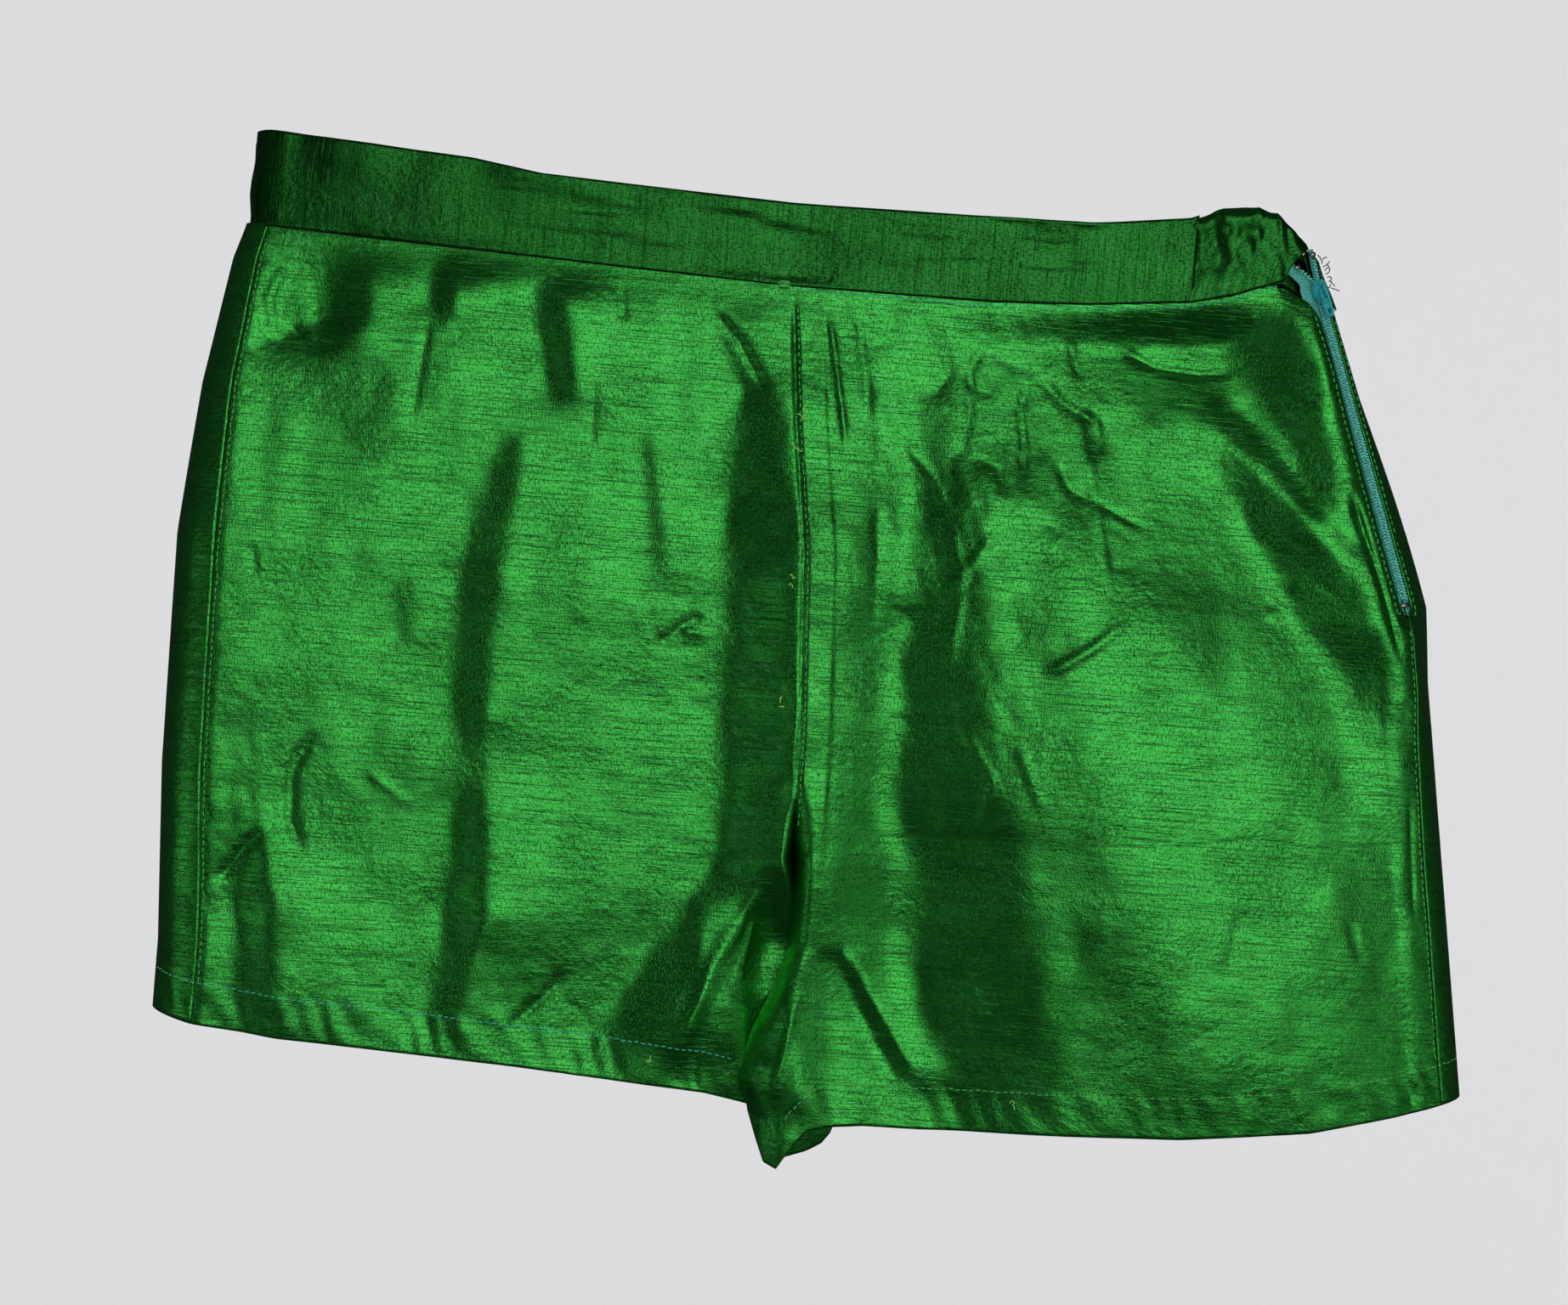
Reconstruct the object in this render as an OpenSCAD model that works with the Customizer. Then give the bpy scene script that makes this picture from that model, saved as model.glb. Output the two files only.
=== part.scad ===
// Women's shorts in slub silk, hanging by the waistband.
// The origin is the centre of the waist opening, X runs to the wearer's left, Y to the wearer's back, Z up.
// Legs are numbered by side: -1 is the wearer's right leg, +1 is the wearer's left leg.

/* [Waist] */
// Waist laid flat, from side fold to side fold
waist_w = 418; // [400:1:430]
// Depth of the waist opening, front to back, outside
waist_depth = 28; // [26:1:32]
// How much the folded edge of the waistband rises at the sides
waist_rise = 9; // [4:1:12]

/* [Legs] */
// Depth at the hips and legs, front to back, outside
hip_depth = 48; // [40:1:56]
// Height of the crotch below the waist
crotch_drop = 258; // [250:1:262]
// Height of the turned-up hem
hem_h = 16; // [12:1:20]
// Thickness of the cloth with its turnings
cloth_t = 0.8; // [0.6:0.1:1]

/* [Zip] */
// Height of the zip's lower end below the waist
zip_drop = 140; // [130:1:145]
// Distance that the slider can still rise before the top stops
slider_spare = 9.5; // [7:0.5:10]
// Width of the closed chain
chain_w = 4.2; // [4:0.1:4.4]
// Length of the slider
slider_l = 9; // [8:0.5:10]
// Length of the pull tab below its bar
pull_l = 11; // [9:0.5:14]

/* [Sewing] */
// Thickness of the sewing thread
thread_d = 0.5; // [0.4:0.1:0.7]
// Width of the elastic
elastic_w = 20; // [16:1:22]

/* [Hidden] */

RIGHT = -1;
LEFT = 1;
silk = [0.06, 0.42, 0.12];
silk_inside = [0.05, 0.36, 0.11];
teal = [0.16, 0.55, 0.5];
thread_green = [0.12, 0.5, 0.2];

gap = 0.3;               // space left between neighbouring pieces of cloth
rows_above = 8;          // rows of a panel from the waist to the end of the zip
rows_below = 12;         // and from there to the hem
cols_front = 22;         // columns of a front panel, seam to seam
cols_back = 28;
arc_fn = 96;

waist_r = waist_depth / 2;
hip_r = hip_depth / 2;
right_edge = -0.536 * waist_w;         // right side fold at the waist
left_edge = 0.466 * waist_w;           // left side fold at the waist
hip_z = -150;                          // where the full depth is reached
seam_z = -35;                          // the waist seam at the centre, where the depth is that of the waist
crotch_z = -crotch_drop;
dip_z = crotch_z + 88;                 // where the centre seams start to turn under
zip_end = -zip_drop;
zip_flare = 0.387;                     // the left side runs out this much for each mm down, along the zip
leg_flare = 0.158;                     // and this much below the zip
side_turn = 80;                        // where the right side seam lies on the rounded side, in degrees
zip_turn = 55;                         // and the left side seam with its zip
elastic_t = 1.4;

// Distance of the right side fold outside its place at the waist, by height
right_swell = [[-400, 14], [-310, 14], [-240, 18], [-150, 19], [-90, 14], [-40, 6], [-27, 2], [0, 0]];
// The centre seam, by height: it leans because the left leg hangs outward
centre_line = [[-260, 9], [-205, 8], [-138, 4], [-88, -3], [0, -12]];
// Inner edges of the two legs below the crotch, by height
right_inner = [[-400, -9], [-356, -9], [-326, -10], [-312, -4], [-288, 3], [-258, 8]];
left_inner = [[-400, 12], [-380, 12], [-369, 5], [-352, -1], [-326, -2], [-312, 4], [-288, 9], [-258, 9]];
// Waist seam, upper edge of the waistband and the hems, by distance across
waist_seam = [[-240, -27], [-130, -31], [-10, -35], [70, -35], [107, -33], [147, -29], [163, -25],
    [186, -16], [190, -18], [202, -26]];
right_hem = [[-240, -336], [-219, -340], [-185, -343], [-100, -347], [-18, -352], [0, -356]];
left_hem = [[10, -382], [33, -370], [38, -359], [67, -359], [116, -356], [166, -353], [216, -347],
    [249, -339], [280, -330]];

function mix(a, b, t) = a + (b - a) * t;
function half_depth(z) = z > hip_z ? mix(waist_r, hip_r, (z - seam_z) / (hip_z - seam_z)) : hip_r;
function left_fold(z) = left_edge - max(z, zip_end) * zip_flare + max(zip_end - z, 0) * leg_flare;
function right_fold(z) = right_edge - lookup(z, right_swell);
function side_x(leg, z) = leg == LEFT ? left_fold(z) : right_fold(z);
function inner_x(leg, z) = leg * gap / 2
    + (z > crotch_z ? lookup(z, centre_line) : lookup(z, leg == LEFT ? left_inner : right_inner));
function hem_z(leg, x) = lookup(x, leg == LEFT ? left_hem : right_hem);

// How far the centre seam stands from the middle of the depth: all the way at the top, nothing at the crotch
function openness(z) = z > dip_z ? 1 : z < crotch_z ? 0 : sqrt((z - crotch_z) / (dip_z - crotch_z));

// A leg is a flattened tube. u runs round it: 0 is the inner edge in front, 1 the side fold and 2 the inner
// edge behind. The quarters next to the inner edge and the side fold are a quarter turn each.
function rounded(d, r) = d >= r ? 1 : sqrt(max(0, 1 - (1 - d / r) * (1 - d / r)));
function skin_x(leg, u, z) =
    let (
        w = u > 1 ? 2 - u : u,
        start = inner_x(leg, z) + leg * hip_r,
        end = side_x(leg, z) - leg * half_depth(z)
    )
    w < 0.25 ? start - leg * hip_r * cos(360 * w)
    : w > 0.75 ? end + leg * half_depth(z) * cos(360 * (1 - w))
    : mix(start, end, 2 * w - 0.5);
function skin_xy(leg, u, z) =
    let (
        x = skin_x(leg, u, z),
        r = half_depth(z),
        open = openness(z),
        outer = rounded(abs(side_x(leg, z) - x), r),
        inner = mix(open, 1, rounded(abs(x - inner_x(leg, z)), hip_r))
    )
    [x, (u > 1 ? 1 : -1) * r * min(outer, inner)];
function skin_normal(leg, u, z) =
    let (
        step = 0.002,
        a = skin_xy(leg, max(u - step, 0), z),
        b = skin_xy(leg, min(u + step, 2), z),
        t = (b - a) / norm(b - a)
    )
    leg * [t[1], -t[0]];
function skin(leg, u, z, lift) =
    let (p = skin_xy(leg, u, z) + lift * skin_normal(leg, u, z))
    [p[0], p[1], z];

// u of a point on the rounded side, by its angle: positive in front, negative behind, 0 at the fold
function side_u(angle) = 1 - angle / 360;
function arc_angle(z, length) = length / half_depth(z) * 180 / PI;

// Half the width of the zip's opening between the two panels
slot_half = 3.8;
slot_end = zip_end - 3;
function slot(z) = z > slot_end - 0.5 ? slot_half : gap / 2;
function seam_angle(leg) = leg == LEFT ? zip_turn : side_turn;
function seam_u(leg, z, away) = side_u(seam_angle(leg) + arc_angle(z, away));
function seam_space(leg, z) = leg == LEFT ? slot(z) : gap / 2;

// u of a panel's two edges
edge_u = 0.006;
function panel_start(leg, front, z) = front ? edge_u : seam_u(leg, z, -seam_space(leg, z));
function panel_end(leg, front, z) = front ? seam_u(leg, z, seam_space(leg, z)) : 2 - edge_u;
function panel_u(leg, front, z, i) = mix(panel_start(leg, front, z), panel_end(leg, front, z), i);

// Height of a point of a panel: i runs across it and j counts rows down from the waist seam to the hem.
// One row is at the end of the zip's opening and the next just below it.
function seam_z_at(leg, front, i, z) = lookup(skin_x(leg, panel_u(leg, front, z, i), z), waist_seam);
function panel_z(leg, front, i, j) =
    let (
        top = seam_z_at(leg, front, i, seam_z_at(leg, front, i, -25)) - 2 * gap,
        low = hem_z(leg, skin_x(leg, panel_u(leg, front, -340, i), -340))
    )
    j <= rows_above ? mix(top, slot_end, j / rows_above)
    : mix(slot_end - 3, low, (j - rows_above - 1) / rows_below);
function panel_grid(leg, front, lift) =
    let (cols = front ? cols_front : cols_back)
    [for (j = [0 : rows_above + 1 + rows_below]) [for (i = [0 : cols])
        let (z = panel_z(leg, front, i / cols, j))
        skin(leg, panel_u(leg, front, z, i / cols), z, lift)
    ]];

function cell(a, b, c, d, flip) = flip ? [[a, c, b], [a, d, c]] : [[a, b, c], [a, c, d]];

// A closed shell between two grids of points with the same rows and columns
module shell(outside, inside, flip) {
    m = len(outside);
    n = len(outside[0]);
    function o(j, i) = j * n + i;
    function s(j, i) = m * n + j * n + i;
    polyhedron(
        points = concat([for (row = outside) each row], [for (row = inside) each row]),
        faces = concat(
            [for (j = [0 : m - 2]) for (i = [0 : n - 2])
                each cell(o(j, i), o(j, i + 1), o(j + 1, i + 1), o(j + 1, i), flip)],
            [for (j = [0 : m - 2]) for (i = [0 : n - 2])
                each cell(s(j, i), s(j, i + 1), s(j + 1, i + 1), s(j + 1, i), !flip)],
            [for (i = [0 : n - 2]) each cell(o(0, i), s(0, i), s(0, i + 1), o(0, i + 1), flip)],
            [for (i = [0 : n - 2])
                each cell(o(m - 1, i), s(m - 1, i), s(m - 1, i + 1), o(m - 1, i + 1), !flip)],
            [for (j = [0 : m - 2]) each cell(o(j, 0), s(j, 0), s(j + 1, 0), o(j + 1, 0), !flip)],
            [for (j = [0 : m - 2])
                each cell(o(j, n - 1), s(j, n - 1), s(j + 1, n - 1), o(j + 1, n - 1), flip)]
        )
    );
}

module panel(leg, front) {
    color(silk)
        shell(panel_grid(leg, front, 0), panel_grid(leg, front, -cloth_t), leg == RIGHT);
}

// A thread laid along a list of points, with a flat cap at each end. It never runs along the direction aside.
module strand(path, aside = [0, 1, 0], sides = 6) {
    last = len(path) - 1;
    function way(k) = let (d = path[min(k + 1, last)] - path[max(k - 1, 0)]) d / norm(d);
    function ring(k) =
        let (
            t = way(k),
            a = cross(t, aside) / norm(cross(t, aside)),
            b = cross(t, a)
        )
        [for (q = [0 : sides - 1])
            let (angle = q * 360 / sides)
            path[k] + thread_d / 2 * (cos(angle) * a + sin(angle) * b)
        ];
    polyhedron(
        points = [for (k = [0 : last]) each ring(k)],
        faces = concat(
            [[for (q = [sides - 1 : -1 : 0]) q]],
            [for (k = [0 : last - 1]) for (q = [0 : sides - 1])
                let (r = (q + 1) % sides, a = k * sides, b = a + sides)
                each [[a + q, a + r, b + r], [a + q, b + r, b + q]]],
            [[for (q = [0 : sides - 1]) last * sides + q]]
        )
    );
}
lift = thread_d / 2 + 0.2;             // a thread's centre above the cloth

// ---- Waistband ----
band_left = right_edge + waist_r;      // centres of the rounded ends
band_right = left_fold(-18) - waist_r;
section_x = 146;                       // where the flat front section meets the gathered side section
layer_gap = 0.3;
upper_edge = [[-300, waist_rise], [-190, waist_rise - 1], [-137, waist_rise - 4], [-56, -1], [-12, -2.5],
    [55, -2], [105, -1], [144, 4], [171, 10], [181, 8], [193, -1], [210, -12]];

module stadium(r) {
    translate([band_left, -r]) square([band_right - band_left, 2 * r]);
    for (x = [band_left, band_right]) translate([x, 0]) circle(r, $fn = arc_fn);
}
module ring(outer, inner) {
    difference() {
        stadium(outer);
        stadium(inner);
    }
}
// The band seen from the front, drawn in by trim at both edges
module band_face(trim) {
    polygon(concat(
        [for (p = upper_edge) [p[0], p[1] - trim]],
        [for (k = [len(waist_seam) - 1 : -1 : 0]) [waist_seam[k][0], waist_seam[k][1] + trim]],
        [[-300, waist_seam[0][1] + trim]]
    ));
}
module band(outer, inner, trim) {
    intersection() {
        translate([0, 0, -60]) linear_extrude(90) ring(outer, inner);
        rotate([90, 0, 0]) translate([0, 0, -40]) linear_extrude(80) band_face(trim);
    }
}
module block(low, high) {
    translate(low) cube(high - low);
}
FAR = 400;
module front_section() {
    block([-FAR, -FAR, -FAR], [section_x - layer_gap, -gap / 2, FAR]);
}
module side_section() {
    intersection() {
        block([section_x, -FAR, -FAR], [FAR, -gap / 2, FAR]);
        in_zip_frame() block([-FAR, -FAR, -FAR], [-slot_half - 0.8, FAR, FAR]);
    }
}
module back_section() {
    block([-FAR, gap / 2, -FAR], [band_right, FAR, FAR]);
    intersection() {
        block([band_right - 1, -FAR, -FAR], [FAR, FAR, FAR]);
        in_zip_frame() block([slot_half + 0.8, -FAR, -FAR], [FAR, FAR, FAR]);
    }
}
module waistband_front() {
    color(silk) intersection() {
        band(waist_r, waist_r - cloth_t, 0);
        front_section();
    }
}
interfacing_r = waist_r - cloth_t - layer_gap;
interfacing_t = 0.5;
module waistband_interfacing() {
    color("white") intersection() {
        band(interfacing_r, interfacing_r - interfacing_t, 1.5);
        front_section();
    }
}
facing_r = interfacing_r - interfacing_t - layer_gap;
module waistband_front_facing() {
    color(silk_inside) intersection() {
        band(facing_r, facing_r - cloth_t, 0);
        front_section();
    }
}
// The gathered sections are tunnels of cloth with the elastic inside
tunnel_t = elastic_t + 2 * layer_gap;
module tunnel() {
    difference() {
        band(waist_r, waist_r - 2 * cloth_t - tunnel_t, 0);
        band(waist_r - cloth_t, waist_r - cloth_t - tunnel_t, cloth_t);
    }
}
module elastic() {
    band(waist_r - cloth_t - layer_gap, waist_r - cloth_t - layer_gap - elastic_t, cloth_t + 1.5);
}
module waistband_side() {
    color(silk) intersection() {
        tunnel();
        side_section();
    }
}
module waistband_back() {
    color(silk) intersection() {
        tunnel();
        back_section();
    }
}
module elastic_side() {
    color("ivory") intersection() {
        elastic();
        side_section();
    }
}
module elastic_back() {
    color("ivory") intersection() {
        elastic();
        back_section();
    }
}

// ---- Hem turnings: the cloth folded up inside each leg ----
module hem_turning(leg) {
    n = 60;
    fold_gap = 2 * gap;
    function u(i) = mix(0.03, 1.97, i / n);
    function low(i) = hem_z(leg, skin_x(leg, u(i), -340));
    function grid(lift_in) = [for (v = [0, 0.5, 1]) [for (i = [0 : n])
        skin(leg, u(i), mix(low(i) + hem_h, low(i) + 0.5, v), lift_in)
    ]];
    color(silk_inside)
        shell(grid(-cloth_t - fold_gap), grid(-cloth_t - fold_gap - 0.6), leg == RIGHT);
}

// ---- Zip ----
// The seam that holds the zip is straight, so the whole zip shares one frame:
// its z runs up the zip, its x towards the back panel and its y into the garment.
function zip_point(z) =
    let (r = half_depth(z))
    [left_fold(z) - r * (1 - cos(zip_turn)), -r * sin(zip_turn), z];
slider_z = -20;
zip_origin = zip_point(slider_z);
zip_up = (zip_origin - zip_point(zip_end)) / norm(zip_origin - zip_point(zip_end));
zip_length = norm(zip_origin - zip_point(zip_end));
round_side = [sin(zip_turn), cos(zip_turn), 0];
zip_across_raw = round_side - (round_side * zip_up) * zip_up;
zip_across = zip_across_raw / norm(zip_across_raw);
zip_in = cross(zip_up, zip_across);
module in_zip_frame() {
    multmatrix([
        [zip_across[0], zip_in[0], zip_up[0], zip_origin[0]],
        [zip_across[1], zip_in[1], zip_up[1], zip_origin[1]],
        [zip_across[2], zip_in[2], zip_up[2], zip_origin[2]],
        [0, 0, 0, 1]
    ]) children();
}

chain_half = chain_w / 2;
coil_out = -0.2;                       // the coil's outer and inner faces, along the zip frame's y
coil_in = 1;
tape_depth = 1.15;                     // tape below the panels' outer face
tape_t = 0.4;
tape_w = 9;
post_half = 0.4;                       // the slider's wedge, between the two coils
stop_z = slider_l / 2 + slider_spare + 0.2;
tape_edge = 0.9;                       // from the middle of the zip to the edge of each tape
open_lean = [-1.2, 1.1];               // how far the two coils part at the top stops

module tape(side) {
    n = 24;
    wide_top = -9;
    top_z = -28;
    // the tape's own edge by the coil, and its outer edge under the panel
    function edge(z, far) = side_u(zip_turn - side * arc_angle(z, far ? tape_w : tape_edge));
    function grid(depth) = [for (j = [0 : n]) let (z = mix(top_z, zip_end - 6, j / n))
        [for (i = [0 : 4]) skin(LEFT, mix(edge(z, side < 0), edge(z, side > 0), i / 4), z, -depth)]
    ];
    color(teal) {
        shell(grid(tape_depth), grid(tape_depth + tape_t), false);
        in_zip_frame() rotate([-90, 0, 0]) translate([0, 0, tape_depth]) linear_extrude(tape_t)
            polygon(mirror_z([
                [side * tape_edge, wide_top], [side * 2.8, wide_top], [side * 2.8, 0.4],
                [side * 2.8 + lean(side), stop_z + 3], [side * tape_edge + lean(side), stop_z + 3],
                [side * tape_edge, 0.4]
            ]));
    }
}
function lean(side) = side < 0 ? open_lean[0] : open_lean[1];
// linear_extrude along the zip frame's y turns z over, so outlines are given with z negated
function mirror_z(points) = [for (p = points) [p[0], -p[1]]];

module coil(side) {
    inner = 0.1;
    parted = post_half + 0.15;
    low = -zip_length + 1;
    color(teal) in_zip_frame()
        rotate([-90, 0, 0]) translate([0, 0, coil_out]) linear_extrude(coil_in - coil_out)
            polygon(mirror_z([
                [side * inner, low], [side * inner, -1], [side * parted, 1.1],
                [side * parted, slider_l / 2], [side * parted + lean(side), stop_z - 0.1],
                [side * (parted + 2) + lean(side), stop_z - 0.1], [side * (parted + 2), slider_l / 2],
                [side * (parted + 2), 1.1], [side * chain_half, -1], [side * chain_half, low]
            ]));
}
module zip_top_stops() {
    stop_w = 2.4;
    stop_h = 2;
    color("silver") in_zip_frame() for (side = [-1, 1])
        block([side * (post_half + 1.15) + lean(side) - stop_w / 2, -0.4, stop_z],
            [side * (post_half + 1.15) + lean(side) + stop_w / 2, coil_in, stop_z + stop_h]);
}
module zip_bottom_stop() {
    color("silver") in_zip_frame()
        block([-chain_half - 0.2, -0.4, -zip_length - 1.2], [chain_half + 0.2, coil_in, -zip_length + 0.8]);
}

// Slider: two plates joined by the wedge, with walls that hold the chain and a bridge for the pull
plate_out = -1.5;
plate_in = -0.6;
under_plate = [2.2, 3];
channel_half = 2.75;
body_half = 3.25;
bridge_w = 1.2;
bridge_half_l = 2.6;
bridge_h = 2.1;
bar_r = 0.5;
bar_y = -2.2;
module slider_outline() {
    half = slider_l / 2;
    polygon(mirror_z([
        [-2, -half], [2, -half], [body_half - 0.3, 1 - half], [body_half, half - 2.4],
        [body_half - 0.5, half - 0.6], [1.4, half], [0.5, half - 0.8], [-0.5, half - 0.8], [-1.4, half],
        [0.5 - body_half, half - 0.6], [-body_half, half - 2.4], [0.3 - body_half, 1 - half]
    ]));
}
module plate(y0, y1) {
    rotate([-90, 0, 0]) translate([0, 0, y0]) linear_extrude(y1 - y0) slider_outline();
}
module zip_slider() {
    half = slider_l / 2;
    color([0.14, 0.45, 0.44]) in_zip_frame() union() {
        plate(plate_out, plate_in);
        plate(under_plate[0], under_plate[1]);
        block([-post_half, plate_in - 0.1, 1.2], [post_half, under_plate[0] + 0.1, half - 0.9]);
        for (side = [-1, 1])
            block([side > 0 ? channel_half : -channel_half - 0.45, plate_in - 0.1, 1.2 - half],
                [side > 0 ? channel_half + 0.45 : -channel_half, 0.75, half - 2.4]);
        difference() {
            block([-bridge_w / 2, plate_out - bridge_h, -bridge_half_l],
                [bridge_w / 2, plate_out + 0.1, bridge_half_l]);
            block([-bridge_w, plate_out - bridge_h + 0.7, -bridge_half_l + 0.8],
                [bridge_w, plate_out, bridge_half_l - 0.8]);
        }
    }
}

// Pull: a bar under the bridge, two arms and a tab with an eye at its end
pull_t = 0.8;
pull_half = 2.3;
arm_in = 1;
module zip_pull() {
    color([0.14, 0.45, 0.44]) in_zip_frame() translate([0, bar_y, 0]) {
        translate([-pull_half, 0, 0]) rotate([0, 90, 0]) cylinder(h = 2 * pull_half, r = bar_r, $fn = 48);
        rotate([-90, 0, 0]) translate([0, 0, -pull_t / 2]) linear_extrude(pull_t) difference() {
            union() {
                translate([-pull_half, 0]) square([2 * pull_half, pull_l - pull_half]);
                translate([0, pull_l - pull_half]) circle(pull_half, $fn = 48);
            }
            translate([-arm_in, -0.1]) square([2 * arm_in, 3.6]);
            translate([0, pull_l - pull_half]) circle(1.1, $fn = 32);
        }
    }
}

// ---- Sewing ----
module waist_stitching() {
    below = 1.3;
    color(teal) strand([for (k = [0 : 16])
        let (x = mix(-8, left_edge - 14, k / 16), z = lookup(x, waist_seam) - below)
        [x, -half_depth(z) - lift, z]
    ]);
}
module centre_stitching(front) {
    n = 20;
    beside = 0.08;
    u = front ? beside : 2 - beside;
    color(thread_green)
        strand([for (k = [0 : n]) let (z = mix(-38, dip_z, k / n)) skin(LEFT, u, z, lift)]);
}
module side_stitching(leg) {
    n = 20;
    top = leg == LEFT ? zip_end - 10 : -32;
    low = leg == LEFT ? -312 : -320;
    color(thread_green) strand([for (k = [0 : n]) let (z = mix(top, low, k / n))
        skin(leg, seam_u(leg, z, 1.5), z, lift)]);
}
module inseam_stitching(leg) {
    n = 10;
    low = leg == LEFT ? -356 : -330;
    color(thread_green) strand([for (k = [0 : n]) let (z = mix(crotch_z - 8, low, k / n))
        skin(leg, 2 - 0.1, z, lift)]);
}
module hem_stitching(leg) {
    n = 60;
    function u(i) = mix(0.05, 1.95, i / n);
    color(leg == LEFT ? thread_green : teal) strand([for (i = [0 : n])
        skin(leg, u(i), hem_z(leg, skin_x(leg, u(i), -340)) + hem_h, lift)
    ], [0, 0, 1]);
}
module zip_stitching() {
    n = 16;
    away = slot_half + 1.6;
    color(thread_green) for (side = [-1, 1])
        strand([for (k = [0 : n]) let (z = mix(-34, zip_end - 5, k / n))
            skin(LEFT, seam_u(LEFT, z, side * away), z, lift)]);
}
module bar_tack() {
    color(thread_green) block([-14.5, -waist_r - 1.4, -38.6], [-10.5, -waist_r - 0.5, -36]);
}

panel(RIGHT, true);  // right_front_panel
panel(LEFT, true);  // left_front_panel
panel(RIGHT, false);  // right_back_panel
panel(LEFT, false);  // left_back_panel
waistband_front();
waistband_interfacing();
waistband_front_facing();
waistband_side();
waistband_back();
elastic_side();
elastic_back();
hem_turning(RIGHT);  // right_hem_turning
hem_turning(LEFT);  // left_hem_turning
tape(-1);  // zip_tape_front
tape(1);  // zip_tape_back
coil(-1);  // zip_coil_front
coil(1);  // zip_coil_back
zip_top_stops();
zip_bottom_stop();
zip_slider();
zip_pull();
waist_stitching();
centre_stitching(true);  // centre_front_stitching
centre_stitching(false);  // centre_back_stitching
side_stitching(RIGHT);  // right_side_stitching
side_stitching(LEFT);  // left_side_stitching
inseam_stitching(RIGHT);  // right_inseam_stitching
inseam_stitching(LEFT);  // left_inseam_stitching
hem_stitching(RIGHT);  // right_hem_stitching
hem_stitching(LEFT);  // left_hem_stitching
zip_stitching();
bar_tack();
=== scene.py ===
"""Slub silk shorts hanging by the waistband: cloth, bands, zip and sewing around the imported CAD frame.

Shapes are worked out in millimetres in the frame's own axes (X to the wearer's left, Y to the back, Z up)
and turned into metres when a mesh is made. Right and left are the wearer's.
"""

import math

import bmesh
import bpy
import numpy as np
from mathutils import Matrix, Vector


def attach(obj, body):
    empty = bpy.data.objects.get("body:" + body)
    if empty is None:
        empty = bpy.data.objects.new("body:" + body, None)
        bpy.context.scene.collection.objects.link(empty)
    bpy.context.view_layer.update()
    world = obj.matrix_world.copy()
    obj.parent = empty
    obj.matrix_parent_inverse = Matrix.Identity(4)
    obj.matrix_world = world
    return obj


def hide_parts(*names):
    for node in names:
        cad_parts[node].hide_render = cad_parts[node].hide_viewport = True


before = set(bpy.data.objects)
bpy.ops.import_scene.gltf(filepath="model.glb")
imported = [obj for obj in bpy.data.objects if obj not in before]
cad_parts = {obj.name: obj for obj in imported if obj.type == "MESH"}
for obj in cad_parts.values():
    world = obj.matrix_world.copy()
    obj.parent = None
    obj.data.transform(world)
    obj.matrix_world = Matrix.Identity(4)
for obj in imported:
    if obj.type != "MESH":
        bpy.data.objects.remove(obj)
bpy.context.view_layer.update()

MM = 0.001
BODY = "garment"
RIGHT, LEFT = -1, 1

# ---- Dimensions shared with the CAD (mm) ----
WAIST_R, HIP_R = 14.0, 24.0            # half the depth at the waist and at the hips
SEAM_Z, HIP_Z = -35.0, -150.0
CROTCH_Z = -258.0
DIP_Z = CROTCH_Z + 24                  # where the centre seams start to turn under
UNDER_THINS, UNDER_SHIFT = 0.45, 9.0   # beside the crotch: both legs thin, the left forward, the right back
INNER_R = 9.0                          # how sharply the cloth turns in at the centre seams and inner edges
WAIST_W = 418.0
RIGHT_EDGE, LEFT_EDGE = -0.536 * WAIST_W, 0.466 * WAIST_W
ZIP_END = -140.0
ZIP_FLARE, LEG_FLARE = 0.387, 0.158
ZIP_TURN, SIDE_TURN = 55.0, 80.0       # where the side seams lie on the rounded sides, in degrees
HEM_H = 16.0

# Outlines, each as a few (x or z, value) points
RIGHT_SWELL = [
    (-400, 14), (-310, 14), (-240, 18), (-150, 19), (-90, 14), (-40, 6), (-27, 2), (0, 0),
]
CENTRE_LINE = [
    (-260, 9), (-205, 8), (-138, 4), (-88, -3), (0, -12),
]
RIGHT_INNER = [
    (-400, 20), (-356, 20), (-312, 20), (-288, 16), (-258, 9),
]
LEFT_INNER = [
    (-400, -1), (-356, -1), (-346, -6), (-326, -2), (-308, 6), (-291, 10), (-258, 9),
]
WAIST_SEAM = [
    (-240, -27), (-130, -31), (-10, -35), (70, -35), (107, -33), (147, -29), (163, -25), (186, -16),
    (190, -18), (202, -26), (210, -30),
]
UPPER_EDGE = [
    (-300, 9), (-217, 10), (-190, 8), (-137, 5), (-110, 1), (-56, -1), (-12, -2.5), (55, -2), (105, -1),
    (144, 4), (154, 8), (171, 11), (181, 8), (193, -1), (198, -7), (210, -12),
]
RIGHT_HEM = [
    (-240, -336), (-219, -340), (-185, -343), (-100, -347), (-18, -352), (0, -356),
]
LEFT_HEM = [
    (-8, -352), (-1, -357), (3, -367), (7, -376), (12, -378), (17, -370), (23, -362), (33, -360),
    (44, -359), (67, -359), (116, -356), (166, -353), (216, -347), (249, -339), (280, -330),
]
LEFT_HEM_BEHIND = [
    (-8, -352), (-1, -357), (3, -367), (7, -376), (12, -379), (24, -376), (32, -372), (35, -360),
    (67, -358), (116, -356), (166, -353), (216, -347), (249, -339), (280, -330),
]


def table(points):
    p = np.array(sorted(points), float)
    return lambda v: np.interp(v, p[:, 0], p[:, 1])


right_swell, centre_line = table(RIGHT_SWELL), table(CENTRE_LINE)
right_inner, left_inner = table(RIGHT_INNER), table(LEFT_INNER)
waist_seam, upper_edge = table(WAIST_SEAM), table(UPPER_EDGE)
right_hem, left_hem, left_hem_behind = table(RIGHT_HEM), table(LEFT_HEM), table(LEFT_HEM_BEHIND)


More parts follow.
